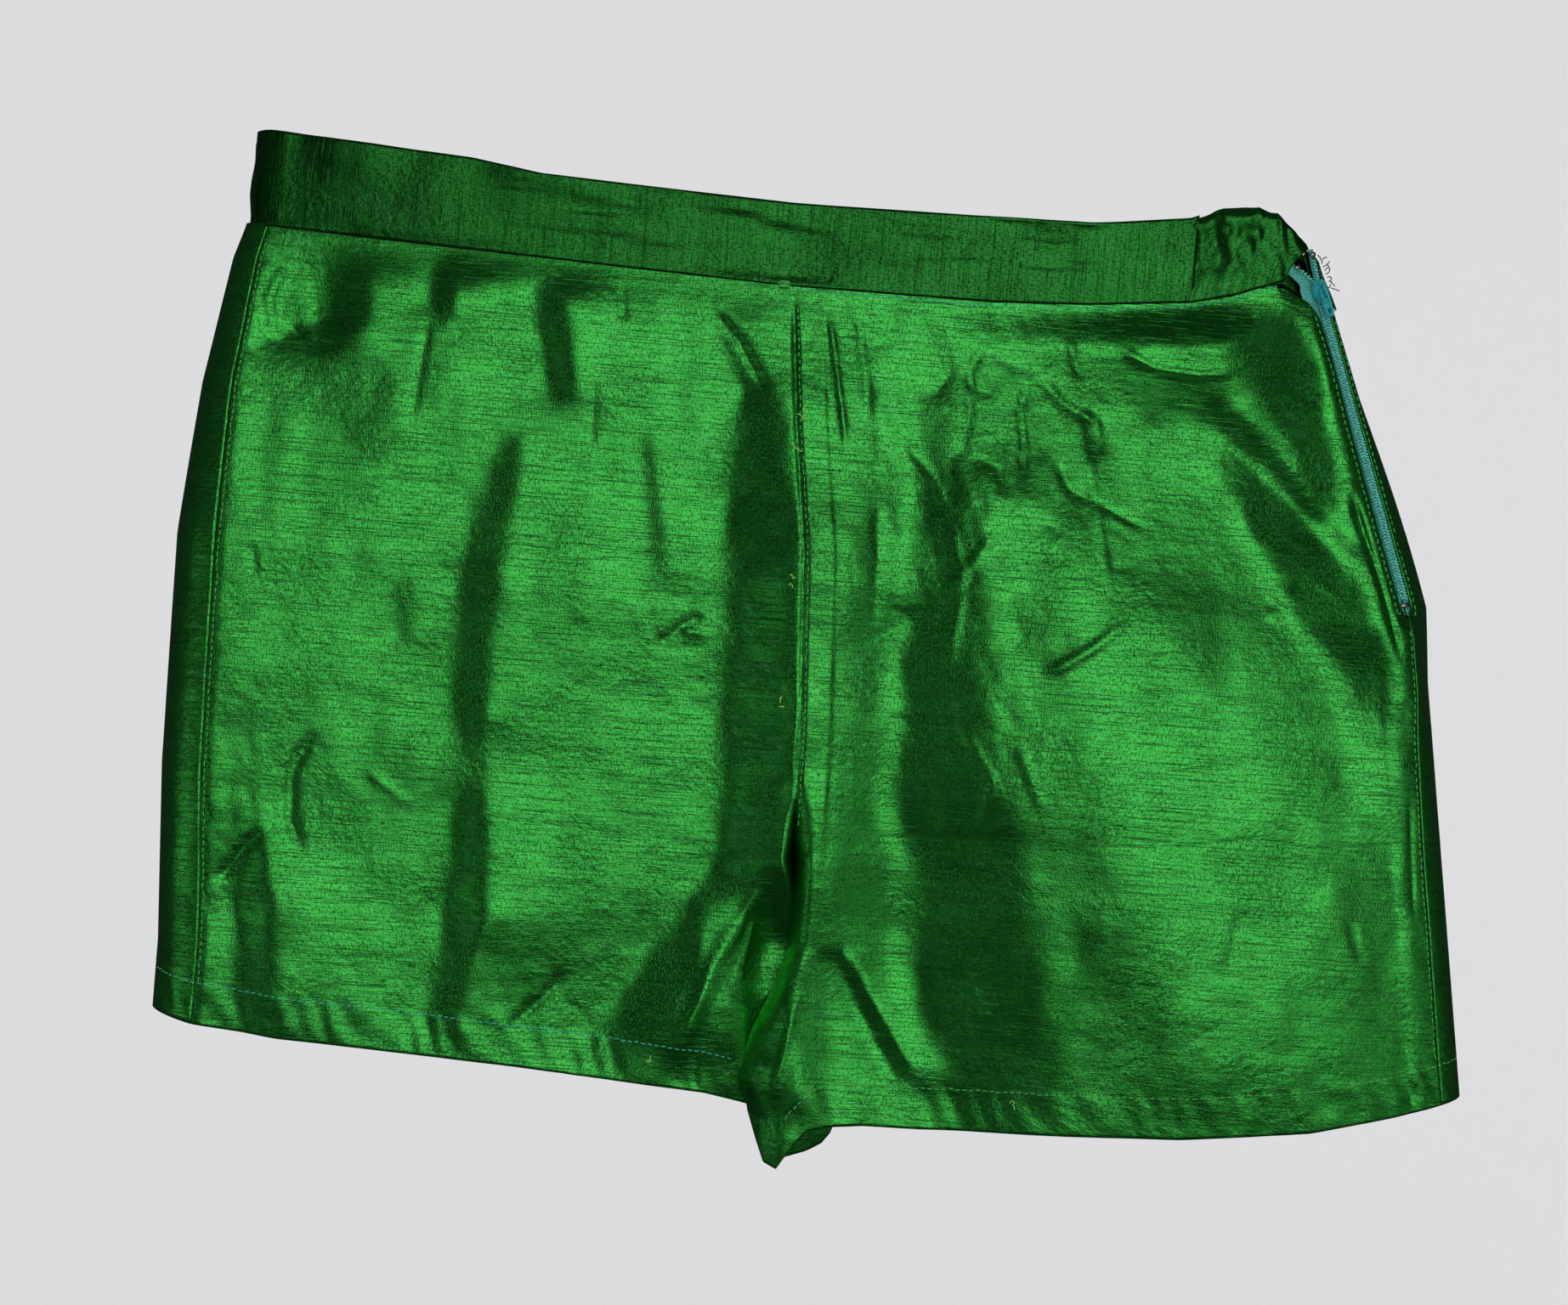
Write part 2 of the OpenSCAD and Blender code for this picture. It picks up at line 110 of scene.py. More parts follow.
def hem_z(leg, x, behind):
    """The lower edge of a leg's cloth; the right leg's back hangs a little lower in the middle."""
    if leg == LEFT:
        return np.where(behind, left_hem_behind(x), left_hem(x))
    lower = np.clip((x + 135) / 30, 0, 1) * np.clip((-10 - x) / 30, 0, 1)
    return right_hem(x) - np.where(behind, 4 * lower, 0)


def mix(a, b, t):
    return a + (b - a) * t


def smooth(a, b, v):
    t = np.clip((v - a) / (b - a), 0, 1)
    return t * t * (3 - 2 * t)


def half_depth(z):
    return np.where(z > HIP_Z, mix(WAIST_R, HIP_R, (z - SEAM_Z) / (HIP_Z - SEAM_Z)), HIP_R)


def left_fold(z):
    return LEFT_EDGE - np.maximum(z, ZIP_END) * ZIP_FLARE + np.maximum(ZIP_END - z, 0) * LEG_FLARE


def side_x(leg, z):
    return left_fold(z) if leg == LEFT else RIGHT_EDGE - right_swell(z)


def inner_x(leg, z):
    below = left_inner(z) if leg == LEFT else right_inner(z)
    return np.where(z > CROTCH_Z, centre_line(z), below)


def rounded(d, r):
    return np.sqrt(np.maximum(0, 1 - np.maximum(0, 1 - d / r) ** 2))


def openness(z):
    return np.sqrt(np.clip((z - CROTCH_Z) / (DIP_Z - CROTCH_Z), 0, 1))


# ---- Folds: the cloth's relief as slopes across it and creases drawn along it ----
# A fold is (x, z, half width) at its two ends and the slope between them: the cloth comes forward towards the
# wearer's left where the slope is positive, so that stretch turns away from the light.
RIGHT_FOLDS = [
    (-183, -28, 10, -180, -60, 9, 0.32), (-200, -72, 5, -184, -68, 7, 0.22),
    (-185, -80, 13, -166, -108, 11, 0.07), (-144, -22, 6, -144, -54, 5, 0.34),
    (-103, -46, 6, -95, -82, 6, 0.3), (-113, -108, 6, -121, -158, 9, 0.18),
    (-121, -160, 9, -121, -212, 8, 0.22), (-120, -212, 6, -118, -246, 5, 0.1),
    (-118, -250, 8, -116, -290, 9, 0.28), (-117, -290, 9, -121, -332, 8, 0.24),
    (-88, -132, 8, -82, -165, 7, 0.07), (-60, -102, 3, -51, -150, 5, 0.16),
    (-38, -48, 3, -17, -76, 7, 0.22), (-18, -84, 10, -13, -128, 14, 0.3),
    (-11, -130, 15, -8, -200, 14, 0.36), (-8, -200, 13, -8, -258, 13, 0.36),
    (-14, -266, 9, -50, -332, 14, 0.34), (-12, -292, 6, -14, -345, 9, 0.3),
    (-198, -270, 4, -198, -292, 8, 0.3), (-197, -292, 8, -192, -340, 9, 0.26),
    (-150, -166, 5, -148, -182, 4, 0.1), (-210, -45, 4, -213, -68, 4, -0.15),
]
LEFT_FOLDS = [
    (9, -130, 7, 11, -280, 8, 0.1), (31, -70, 10, 37, -290, 14, -0.1), (50, -76, 9, 54, -118, 10, 0.14),
    (62, -118, 17, 64, -175, 21, 0.28), (62, -180, 20, 68, -225, 22, 0.34),
    (69, -225, 23, 83, -298, 25, 0.36), (86, -298, 26, 99, -352, 28, 0.36),
    (98, -128, 9, 100, -160, 12, 0.16), (98, -166, 12, 122, -160, 8, 0.2),
    (106, -185, 22, 116, -262, 27, 0.24), (118, -262, 27, 138, -310, 31, 0.24),
    (140, -310, 29, 150, -350, 29, 0.2), (172, -24, 22, 184, -56, 18, 0.4),
    (190, -55, 9, 205, -104, 6, 0.3), (164, -72, 6, 210, -118, 5, -0.22),
    (170, -92, 9, 185, -110, 10, 0.24), (188, -112, 15, 208, -140, 15, 0.34),
    (208, -142, 15, 230, -172, 13, 0.36), (225, -182, 10, 232, -212, 8, 0.14),
    (10, -328, 5, 14, -356, 7, 0.34), (-1, -318, 4, 1, -346, 4, -0.3),
    (20, -300, 5, 24, -350, 7, -0.14), (32, -296, 3, 58, -336, 5, 0.5), (8, -232, 5, 8, -300, 6, 0.4),
    (6, -300, 7, 2, -345, 8, 0.4), (2, -345, 9, 6, -378, 9, 0.5),
]
# A crease is a half width, a height (below zero for a valley) and the (x, z) points that it runs through
CREASES = [
    (1.6, -1.1, (-197, -261), (-206, -274), (-214, -286)),
    (2.6, -0.9, (-180, -221), (-188, -240), (-187, -258), (-179, -274)),
    (2.0, -0.8, (-98, -335), (-84, -320), (-72, -306)),
    (2.2, -0.7, (-52, -181), (-42, -172), (-33, -165)), (1.8, 0.5, (-42, -172), (-30, -174)),
    (1.6, -0.5, (-149, -58), (-153, -102)), (1.5, -0.5, (-83, -75), (-82, -106)),
    (2.2, -0.9, (-40, -46), (-28, -58), (-14, -80)), (1.8, -0.8, (31, -117), (33, -140), (33, -167)),
    (2.0, -1.5, (213, -96), (222, -118), (230, -140), (238, -166)),
    (2.0, 0.8, (99, -180), (118, -167), (133, -153)), (1.4, 0.7, (36, -300), (52, -322), (64, -341)),
    (1.8, 0.7, (6, -44), (12, -70), (18, -102)), (1.6, 0.6, (17, -42), (22, -66), (25, -88)),
    (1.2, -0.7, (69, -47), (63, -63), (64, -78), (62, -100)),
    (1.3, -0.8, (86, -63), (84, -76), (86, -88), (87, -116)),
    (2.2, -0.8, (90, -62), (101, -73), (113, -78), (118, -94)),
    (1.3, -0.6, (98, -93), (105, -106), (122, -113), (138, -120)), (1.1, -0.5, (138, -80), (135, -99)),
    (1.1, -0.6, (77, -84), (78, -113)), (1.3, -0.6, (101, -46), (107, -64)),
    (2.2, -0.7, (108, -72), (115, -96)), (2.0, -0.5, (49, -44), (55, -64), (48, -76)),
    (2.0, 0.6, (38, -90), (52, -106), (60, -122)), (1.8, 0.6, (60, -122), (66, -146), (62, -192)),
    (1.6, 0.5, (78, -124), (62, -150)), (1.6, -0.5, (56, -166), (72, -138)),
    (1.8, -0.9, (120, -48), (136, -55), (153, -56), (170, -54)),
    (4.0, 1.8, (0, -266), (-16, -300), (-33, -346)), (1.6, 0.8, (-3, -280), (-8, -312)),
    (2.6, 1.2, (15, -308), (12, -330), (7, -356)), (2.0, -0.8, (-205, -64), (-196, -74), (-180, -72)),
    (2.0, 0.7, (-206, -40), (-212, -56), (-208, -74)), (1.6, -0.5, (-210, -152), (-207, -166)),
    (2.2, 0.6, (186, -150), (196, -142)), (1.8, -0.5, (-76, -38), (-73, -56)),
    (1.6, 0.5, (110, -86), (124, -150)), (1.8, -0.5, (183, -262), (179, -290)),
    (1.6, -0.4, (135, -190), (121, -214)), (1.5, 0.4, (-160, -236), (-140, -250)),
    (1.8, -0.5, (246, -210), (252, -262)), (1.6, 0.5, (70, -200), (84, -222), (80, -240)),
    (1.5, 0.5, (92, -205), (104, -232)), (1.5, -0.5, (225, -262), (232, -282)),
]
# A crumpled place is its middle (x, z), half its width and height, the depth of its fine creases, and a seed
CRUMPLED = [
    (78, -100, 50, 62, 0.65, 61), (24, -70, 26, 36, 0.5, 62), (70, -190, 38, 40, 0.45, 63),
    (-196, -262, 26, 40, 0.45, 64), (-45, -172, 22, 20, 0.45, 65), (-85, -318, 30, 24, 0.4, 66),
    (205, -100, 22, 50, 0.45, 67), (-195, -60, 20, 24, 0.4, 68),
]
# Random unevenness, as the height, the size across, the size down and the seed of each layer
FRONT_WAVES = [(0.5, 26, 40, 1), (0.28, 10, 24, 3), (0.12, 7, 7, 4), (0.05, 4, 3.4, 5)]
BACK_WAVES = [(3.4, 42, 170, 11), (1.1, 18, 70, 12), (0.35, 9, 14, 13)]
CRUMPLE_SIZE = (8.5, 21)
CREASE_WIDEN, CREASE_DEEPEN = 0.85, 1.7
CELL = 0.8                             # spacing of the relief's grid
GRID_X = np.arange(-262, 300, CELL)
GRID_Z = np.arange(-392, 20, CELL)
PROUD, HELD_BACK = 5.0, 0.57           # folds higher than this lose this share of what is above it
SLOPE_GAIN, SLOPE_LIMITS = 1.5, (-0.4, 0.6)
DOWN_STIFFNESS = 0.2                   # how much a slope down the cloth counts, beside one across it


def noise2(shape_x, shape_z, size_x, size_z, seed):
    """Smooth random values between -1 and 1 over the relief's grid, with features of the given size."""
    r = np.random.default_rng(seed)
    nx, nz = int(600 / size_x) + 4, int(440 / size_z) + 4
    v = r.uniform(-1, 1, (nz, nx))
    fx, fz = (shape_x + 270) / size_x, (shape_z + 400) / size_z
    ix, iz = np.floor(fx).astype(int), np.floor(fz).astype(int)
    tx, tz = fx - ix, fz - iz
    tx, tz = tx * tx * (3 - 2 * tx), tz * tz * (3 - 2 * tz)
    ix, iz = np.clip(ix, 0, nx - 2), np.clip(iz, 0, nz - 2)
    return mix(mix(v[iz, ix], v[iz, ix + 1], tx), mix(v[iz + 1, ix], v[iz + 1, ix + 1], tx), tz)


def waves(x, z, layers):
    """The sum of several layers of random unevenness."""
    return sum(height * noise2(x, z, across, down, seed) for height, across, down, seed in layers)


def along(x, z, a, b):
    """Distance to the stretch from a to b, and how far along it the nearest point is, from 0 to 1."""
    dx, dz = b[0] - a[0], b[1] - a[1]
    t = np.clip(((x - a[0]) * dx + (z - a[1]) * dz) / (dx * dx + dz * dz), 0, 1)
    return np.hypot(x - a[0] - t * dx, z - a[1] - t * dz), t


def crease_height(x, z, width, height, points):
    """A narrow rounded ridge or valley along the points, fading at both ends."""
    best = np.full(x.shape, 1e9)
    share = np.zeros(x.shape)
    n = len(points) - 1
    for k in range(n):
        d, t = along(x, z, points[k], points[k + 1])
        near = d < best
        best = np.where(near, d, best)
        share = np.where(near, (k + t) / n, share)
    fade = smooth(0, 0.2, share) * (1 - smooth(0.75, 1, share))
    return height * fade / (1 + (best / width) ** 2) ** 1.5


def settled(slope):
    """The height whose slope across is nearest to the given one, changing little down the cloth."""
    rows, cols = slope.shape
    padded = np.zeros((rows + 120, cols + 120))
    padded[60:-60, 60:-60] = slope
    kx = np.fft.fftfreq(padded.shape[1], CELL)[None, :] * 2 * np.pi
    kz = np.fft.fftfreq(padded.shape[0], CELL)[:, None] * 2 * np.pi
    weight = kx**2 + DOWN_STIFFNESS * kz**2
    weight[0, 0] = 1
    return np.fft.ifft2(-1j * kx * np.fft.fft2(padded) / weight).real[60:-60, 60:-60]


def smoothed_rows(values, size):
    k = np.arange(-3 * size, 3 * size + CELL, CELL)
    bell = np.exp(-((k / size) ** 2) / 2)
    ends = len(bell) // 2
    return np.convolve(np.pad(values, ends, mode="edge"), bell / bell.sum(), "valid")[:len(values)]


def relief_grid():
    x, z = np.meshgrid(GRID_X, GRID_Z)
    slope = np.zeros(x.shape)
    for folds in (RIGHT_FOLDS, LEFT_FOLDS):
        for x0, z0, w0, x1, z1, w1, s in folds:
            d, t = along(x, z, (x0, z0), (x1, z1))
            slope += s * np.exp(-np.abs(d / mix(w0, w1, t)) ** 3)
    slope = np.clip(SLOPE_GAIN * slope, *SLOPE_LIMITS)
    for leg in (RIGHT, LEFT):
        side = side_x(leg, z) - leg * half_depth(z)
        middle = centre_line(np.maximum(z, CROTCH_Z))
        low, high = (side, middle) if leg == RIGHT else (middle, side)
        inside = (x > low) & (x < high)
        mean = (slope * inside).sum(1) / np.maximum(1, inside.sum(1))
        slope = slope - inside * smoothed_rows(mean, 14)[:, None]
    slope[(x < side_x(RIGHT, z)) | (x > side_x(LEFT, z))] = 0
    height = settled(slope)
    height -= HELD_BACK * np.logaddexp(0, height - PROUD)
    height += waves(x, z, FRONT_WAVES)
    for middle_x, middle_z, half_w, half_h, depth, seed in CRUMPLED:
        within = np.exp(-((x - middle_x) / half_w) ** 2 - ((z - middle_z) / half_h) ** 2)
        lines = 1 - np.abs(noise2(x + 0.35 * z, z, *CRUMPLE_SIZE, seed))
        height -= depth * within * lines**9
    for width, rise, *points in CREASES:
        height += crease_height(x, z, CREASE_WIDEN * width, CREASE_DEEPEN * rise, points)
    return height


def hem_puckers(x, z):
    """Short slanting puckers that the hem's and the waist's stitching pull into the cloth."""
    hem = np.where(x < 4, right_hem(x), left_hem(x)) + HEM_H
    wave = np.sin((x + 0.5 * (z - hem)) * 0.5 + 4 * noise2(x, z, 22, 60, 6))
    below = 0.28 * smooth(5, 0, np.abs(z - hem + 7) - 5) * wave
    top = waist_seam(x)
    pull = np.sin((x + 0.3 * z) * 0.55 + 2.5 * noise2(x, z, 30, 90, 7))
    return below + 0.45 * smooth(18, 2, top - z) * pull * smooth(-40, 20, x)


def seam_lines(x, z):
    """The groove of the centre seam and the step of the turnings beside it."""
    middle = centre_line(z)
    above = smooth(CROTCH_Z - 5, CROTCH_Z + 15, z)
    groove = -0.9 * np.exp(-(((x - middle) / 1.1) ** 2)) * above
    turning = 0.45 * smooth(1, 2.5, x - middle) * (1 - smooth(11, 13, x - middle)) * above
    return groove + turning


GX, GZ = np.meshgrid(GRID_X, GRID_Z)
FRONT_RELIEF = relief_grid() + hem_puckers(GX, GZ) + seam_lines(GX, GZ)
BACK_RELIEF = (
    waves(GX, GZ, BACK_WAVES)
    + 0.5 * np.sin(GX * 0.7 + 3 * noise2(GX, GZ, 25, 80, 14)) * smooth(45, 0, waist_seam(GX) - GZ)
    + hem_puckers(GX, GZ) + seam_lines(GX, GZ)
)


def sample(grid, x, z):
    fx = np.clip((x - GRID_X[0]) / CELL, 0, len(GRID_X) - 1.001)
    fz = np.clip((z - GRID_Z[0]) / CELL, 0, len(GRID_Z) - 1.001)
    ix, iz = fx.astype(int), fz.astype(int)
    tx, tz = fx - ix, fz - iz
    below = mix(grid[iz, ix], grid[iz, ix + 1], tx)
    above = mix(grid[iz + 1, ix], grid[iz + 1, ix + 1], tx)
    return mix(below, above, tz)


# ---- The skin of a leg ----
# u is 0 at the inner edge in front, 1 at the side fold and 2 at the inner edge behind
def skin(leg, u, z, lift=0.0):
    """Points of the cloth's outer face, lifted along its level normal; u and z have one shape."""
    def flat_xy(u):
        w = np.where(u > 1, 2 - u, u)
        start = inner_x(leg, z) + leg * HIP_R
        end = side_x(leg, z) - leg * half_depth(z)
        x = np.where(w < 0.25, start - leg * HIP_R * np.cos(2 * np.pi * w),
                     np.where(w > 0.75, end + leg * half_depth(z) * np.cos(2 * np.pi * (1 - w)),
                              mix(start, end, 2 * w - 0.5)))
        outer = rounded(np.abs(side_x(leg, z) - x), half_depth(z))
        from_inner = np.abs(x - inner_x(leg, z))
        inner = mix(openness(z), 1, rounded(from_inner, INNER_R if leg == LEFT else INNER_R / 2))
        under = smooth(CROTCH_Z, CROTCH_Z - 40, z) * (1 - smooth(0, 44, from_inner))
        depth = half_depth(z) * np.minimum(outer, inner) * (1 - UNDER_THINS * under)
        return x, np.sign(u - 1 + 1e-9) * depth - leg * UNDER_SHIFT * under

    x, y = flat_xy(u)
    step = 1e-3
    xa, ya = flat_xy(np.clip(u - step, 0, 2))
    xb, yb = flat_xy(np.clip(u + step, 0, 2))
    tx, ty = xb - xa, yb - ya
    n = np.hypot(tx, ty) + 1e-9
    nx, ny = leg * ty / n, -leg * tx / n
    front = u < 1
    square = 1 - smooth(0.15, 0.3, np.where(front, u, 2 - u))
    nx, ny = mix(nx, 0, square), mix(ny, np.where(front, -1, 1), square)
    relief = np.where(front, sample(FRONT_RELIEF, x, z), sample(BACK_RELIEF, x, z))
    w = np.where(u > 1, 2 - u, u)
    zip_stretch = smooth(ZIP_END - 14, ZIP_END, z)
    if leg == LEFT:
        near_side = mix(smooth(0.93, 0.80, w), smooth(0.845, 0.74, w), zip_stretch)
        bulge = 2.5 * np.sin(np.pi * np.clip((z + 60) / -110, 0, 1)) * smooth(0.9, 1.0, w)
    else:
        near_side = smooth(0.99, 0.82, w)
        bulge = 0.0
    seam = waist_seam(x)
    near_top = smooth(-1, 20, seam - z)
    turned = mix(smooth(0, 0.10, w), 1, smooth(0, 0.3, openness(z)))
    lift = lift + relief * near_side * near_top * turned + bulge
    return np.stack([x + nx * lift, y + ny * lift, z + 0 * x], -1)


def seam_angle_u(angle):
    return 1 - angle / 360


def arc_u(z, length):
    return length / half_depth(z) / (2 * np.pi)


# ---- Mesh making ----
def shell_mesh(name, outer, thickness, uv, flip):
    """A closed shell of the given thickness behind a grid of points in mm."""
    m, n = outer.shape[:2]
    du, dv = np.gradient(outer, axis=1), np.gradient(outer, axis=0)
    normal = np.cross(du, dv)
    normal /= np.linalg.norm(normal, axis=2, keepdims=True) + 1e-9
    if flip:
        normal = -normal
    inner = outer - normal * thickness
    points = np.concatenate([outer.reshape(-1, 3), inner.reshape(-1, 3)]) * MM
    j, i = np.meshgrid(np.arange(m - 1), np.arange(n - 1), indexing="ij")
    a = (j * n + i).ravel()
    front = np.stack([a, a + n, a + n + 1, a + 1], 1)
    back = front[:, ::-1] + m * n
    rim = np.concatenate([np.arange(n), np.arange(2 * n - 1, m * n, n),
                          np.arange(m * n - 2, (m - 1) * n - 1, -1), np.arange((m - 2) * n, 0, -n)])
    nxt = np.roll(rim, -1)
    side = np.stack([rim, nxt, nxt + m * n, rim + m * n], 1)
    faces = np.concatenate([front, back, side])
    if not flip:
        faces = faces[:, ::-1]
    uv2 = np.concatenate([uv.reshape(-1, 2), uv.reshape(-1, 2)])
    return quad_mesh(name, points, faces, uv2)


def quad_mesh(name, points, faces, uv=None):
    mesh = bpy.data.meshes.new(name)
    mesh.vertices.add(len(points))
    mesh.vertices.foreach_set("co", np.ascontiguousarray(points, np.float32).ravel())
    mesh.loops.add(faces.size)
    mesh.loops.foreach_set("vertex_index", np.ascontiguousarray(faces, np.int32).ravel())
    mesh.polygons.add(len(faces))
    mesh.polygons.foreach_set("loop_start", np.arange(0, faces.size, faces.shape[1], dtype=np.int32))
    mesh.update(calc_edges=True)
    mesh.polygons.foreach_set("use_smooth", np.ones(len(faces), bool))
    if uv is not None:
        layer = mesh.uv_layers.new(name="cloth")
        layer.data.foreach_set("uv", np.ascontiguousarray(uv[faces.ravel()], np.float32).ravel())
    mesh.validate()
    return mesh


def piece(name, mesh, material, slot, *nodes):
    obj = bpy.data.objects.new(name, mesh)
    bpy.context.scene.collection.objects.link(obj)
    mesh.materials.append(material)
    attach(obj, BODY)
    if nodes:
        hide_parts(*nodes)
    return obj


UV_SCALE = 0.01                        # one unit of the cloth's UV map is 100 mm


def cloth_uv(points):
    """Texture positions that follow the threads: the length across the piece, and the height."""
    step = np.linalg.norm(np.diff(points, axis=1), axis=2)
    across = np.concatenate([np.zeros((len(points), 1)), np.cumsum(step, axis=1)], axis=1)
    return np.stack([across * UV_SCALE + points[0, 0, 0] * 0.1, points[..., 2] * UV_SCALE], -1)


# ---- Materials ----
def new_material(name):
    mat = bpy.data.materials.new(name)
    mat.use_nodes = True
    nodes = mat.node_tree.nodes
    return mat, nodes, mat.node_tree.links, nodes["Principled BSDF"]


def noise_node(nodes, links, vector, scale, detail=2.0, rough=0.5):
    """Noise whose features have the given size across and down, in mm."""
    m = nodes.new("ShaderNodeMapping")
    m.inputs["Scale"].default_value = (100 / scale[0], 100 / scale[1], 1)
    links.new(vector, m.inputs["Vector"])
    n = nodes.new("ShaderNodeTexNoise")
    n.noise_dimensions = "2D"
    n.inputs["Scale"].default_value = 1.0
    n.inputs["Detail"].default_value = detail
    n.inputs["Roughness"].default_value = rough
    links.new(m.outputs["Vector"], n.inputs["Vector"])
    return n.outputs["Fac"]


def ramp(nodes, links, value, low, high):
    r = nodes.new("ShaderNodeMapRange")
    r.interpolation_type = "SMOOTHSTEP"
    r.inputs["From Min"].default_value = low
    r.inputs["From Max"].default_value = high
    links.new(value, r.inputs["Value"])
    return r.outputs["Result"]


def maths(nodes, links, kind, a, b):
    m = nodes.new("ShaderNodeMath")
    m.operation = kind
    for socket, v in zip(m.inputs, (a, b)):
        if isinstance(v, (int, float)):
            socket.default_value = v
        else:
            links.new(v, socket)
    return m.outputs[0]


def blend_colour(nodes, links, fac, a, b):
    m = nodes.new("ShaderNodeMix")
    m.data_type = "RGBA"
    if isinstance(fac, (int, float)):
        m.inputs[0].default_value = fac
    else:
        links.new(fac, m.inputs[0])
    for socket, v in ((m.inputs[6], a), (m.inputs[7], b)):
        if isinstance(v, tuple):
            socket.default_value = (*v, 1)
        else:
            links.new(v, socket)
    return m.outputs[2]


def slub_silk(name, upright=False, tint=1.0):
    """Slub silk: uneven threads across the piece (or up it), a fine warp and crumpled patches."""
    mat, nodes, links, bsdf = new_material(name)
    uv = nodes.new("ShaderNodeUVMap")
    uv.uv_map = "cloth"
    vec = uv.outputs["UV"]

    def size(long, thin):
        return (thin, long) if upright else (long, thin)

    def times(a, b):
        return maths(nodes, links, "MULTIPLY", a, b)

    slub = ramp(nodes, links, noise_node(nodes, links, vec, size(16, 0.6), 3.0), 0.60, 0.74)
    line = ramp(nodes, links, noise_node(nodes, links, vec, size(45, 0.5), 2.0), 0.62, 0.72)
    fine = noise_node(nodes, links, vec, size(3.5, 0.45), 2.0)
    warp = noise_node(nodes, links, vec, size(0.5, 2.6), 2.0)
    speck = ramp(nodes, links, noise_node(nodes, links, vec, size(0.75, 1.3), 3.0, 0.65), 0.54, 0.70)
    broad = noise_node(nodes, links, vec, size(60, 5.0), 2.0)
    crumple = noise_node(nodes, links, vec, (3.4, 3.0), 2.0, 0.6)
    patch = ramp(nodes, links, noise_node(nodes, links, vec, (34, 26), 3.0), 0.40, 0.66)
    # tint darkens every colour evenly; for the upright waistband silk it is painted shade
    dark = tuple(c * tint for c in (0.020, 0.20, 0.026))
    green = tuple(c * tint for c in (0.054, 0.47, 0.072))
    light = tuple(c * tint for c in (0.095, 0.62, 0.115))
    grain = maths(nodes, links, "ADD", times(fine, 0.45), times(warp, 0.55))
    base = blend_colour(nodes, links, ramp(nodes, links, grain, 0.28, 0.52), dark, green)
    base = blend_colour(nodes, links, times(slub, 0.25), base, light)
    base = blend_colour(nodes, links, times(line, 0.45), base, dark)
    base = blend_colour(nodes, links, times(ramp(nodes, links, broad, 0.5, 0.75), 0.2), base, dark)
    speckled = times(speck, maths(nodes, links, "ADD", times(patch, 0.55), 0.12))
    base = blend_colour(nodes, links, speckled, base, tuple(0.3 * c for c in dark))
    links.new(base, bsdf.inputs["Base Color"])
    bsdf.inputs["Metallic"].default_value = 0.96
    rough = maths(nodes, links, "MULTIPLY_ADD", patch, 0.08)
    rough.node.inputs[2].default_value = 0.21
    links.new(rough, bsdf.inputs["Roughness"])
    bsdf.inputs["Specular IOR Level"].default_value = 0.3
    height = times(slub, 0.05)
    parts = ((fine, 0.045), (warp, 0.07), (line, -0.04), (speck, -0.04), (broad, 0.05),
             (times(crumple, patch), 0.30))
    for part, amount in parts:
        height = maths(nodes, links, "ADD", height, times(part, amount))
    bump = nodes.new("ShaderNodeBump")
    bump.inputs["Strength"].default_value = 1.0
    bump.inputs["Distance"].default_value = 0.001
    links.new(height, bump.inputs["Height"])
    links.new(bump.outputs["Normal"], bsdf.inputs["Normal"])
    return mat


def plain_weave(name, colour, rough=0.7, metallic=0.0, pitch=0.8, depth=0.2, contrast=0.35):
    """A small-scale weave or grain for tapes, threads, elastic, plastic and paint."""
    mat, nodes, links, bsdf = new_material(name)
    coord = nodes.new("ShaderNodeTexCoord")
    n = nodes.new("ShaderNodeTexNoise")
    n.inputs["Scale"].default_value = 1 / (pitch * MM)
    n.inputs["Detail"].default_value = 3
    links.new(coord.outputs["Object"], n.inputs["Vector"])
    dark = tuple(c * (1 - contrast) for c in colour)
    light = tuple(min(1, c * (1 + contrast)) for c in colour)
    base = blend_colour(nodes, links, ramp(nodes, links, n.outputs["Fac"], 0.35, 0.65), dark, light)
    links.new(base, bsdf.inputs["Base Color"])
    bsdf.inputs["Metallic"].default_value = metallic
    r = maths(nodes, links, "MULTIPLY_ADD", n.outputs["Fac"], 0.2)
    r.node.inputs[2].default_value = rough - 0.1
    links.new(r, bsdf.inputs["Roughness"])
    bump = nodes.new("ShaderNodeBump")
    bump.inputs["Strength"].default_value = 0.6
    bump.inputs["Distance"].default_value = depth * MM
    links.new(n.outputs["Fac"], bump.inputs["Height"])
    links.new(bump.outputs["Normal"], bsdf.inputs["Normal"])
    return mat


SILK = slub_silk("silk_across")
# The waistband's upright silk is darkened to 0.40 of the leg silk: painted shade for the weaker sheen its
# upright threads catch from the high window.
SILK_UP_SHADED = slub_silk("silk_upright_shaded", upright=True, tint=0.40)
SILK_IN = slub_silk("silk_inside", tint=0.75)
# The zip's tape and coil are one teal: the tape is painted darker as painted shade, the coil lighter as a
# painted highlight on its raised turns.
TAPE_SHADED = plain_weave("zip_tape_weave_shaded", (0.045, 0.30, 0.25), 0.75, pitch=0.6)
COIL_HIGHLIT = plain_weave("nylon_coil_highlit", (0.11, 0.52, 0.43), 0.35, pitch=1.2, depth=0.05)
STOP = plain_weave("stop_metal", (0.75, 0.76, 0.76), 0.35, 1.0, pitch=1.0, depth=0.05, contrast=0.1)
PAINT = plain_weave("slider_enamel", (0.02, 0.27, 0.29), 0.25, 0.1, pitch=1.5, depth=0.04, contrast=0.2)
TEAL = plain_weave("thread_teal", (0.03, 0.38, 0.26), 0.6, pitch=0.4)
GREEN = plain_weave("thread_green", (0.05, 0.36, 0.06), 0.6, pitch=0.4)
LIME = plain_weave("thread_lime", (0.30, 0.62, 0.08), 0.6, pitch=0.4)
NAVY = plain_weave("thread_dark", (0.004, 0.02, 0.03), 0.7, pitch=0.4)
ELASTIC = plain_weave("elastic_knit", (0.78, 0.76, 0.70), 0.85, pitch=0.9)
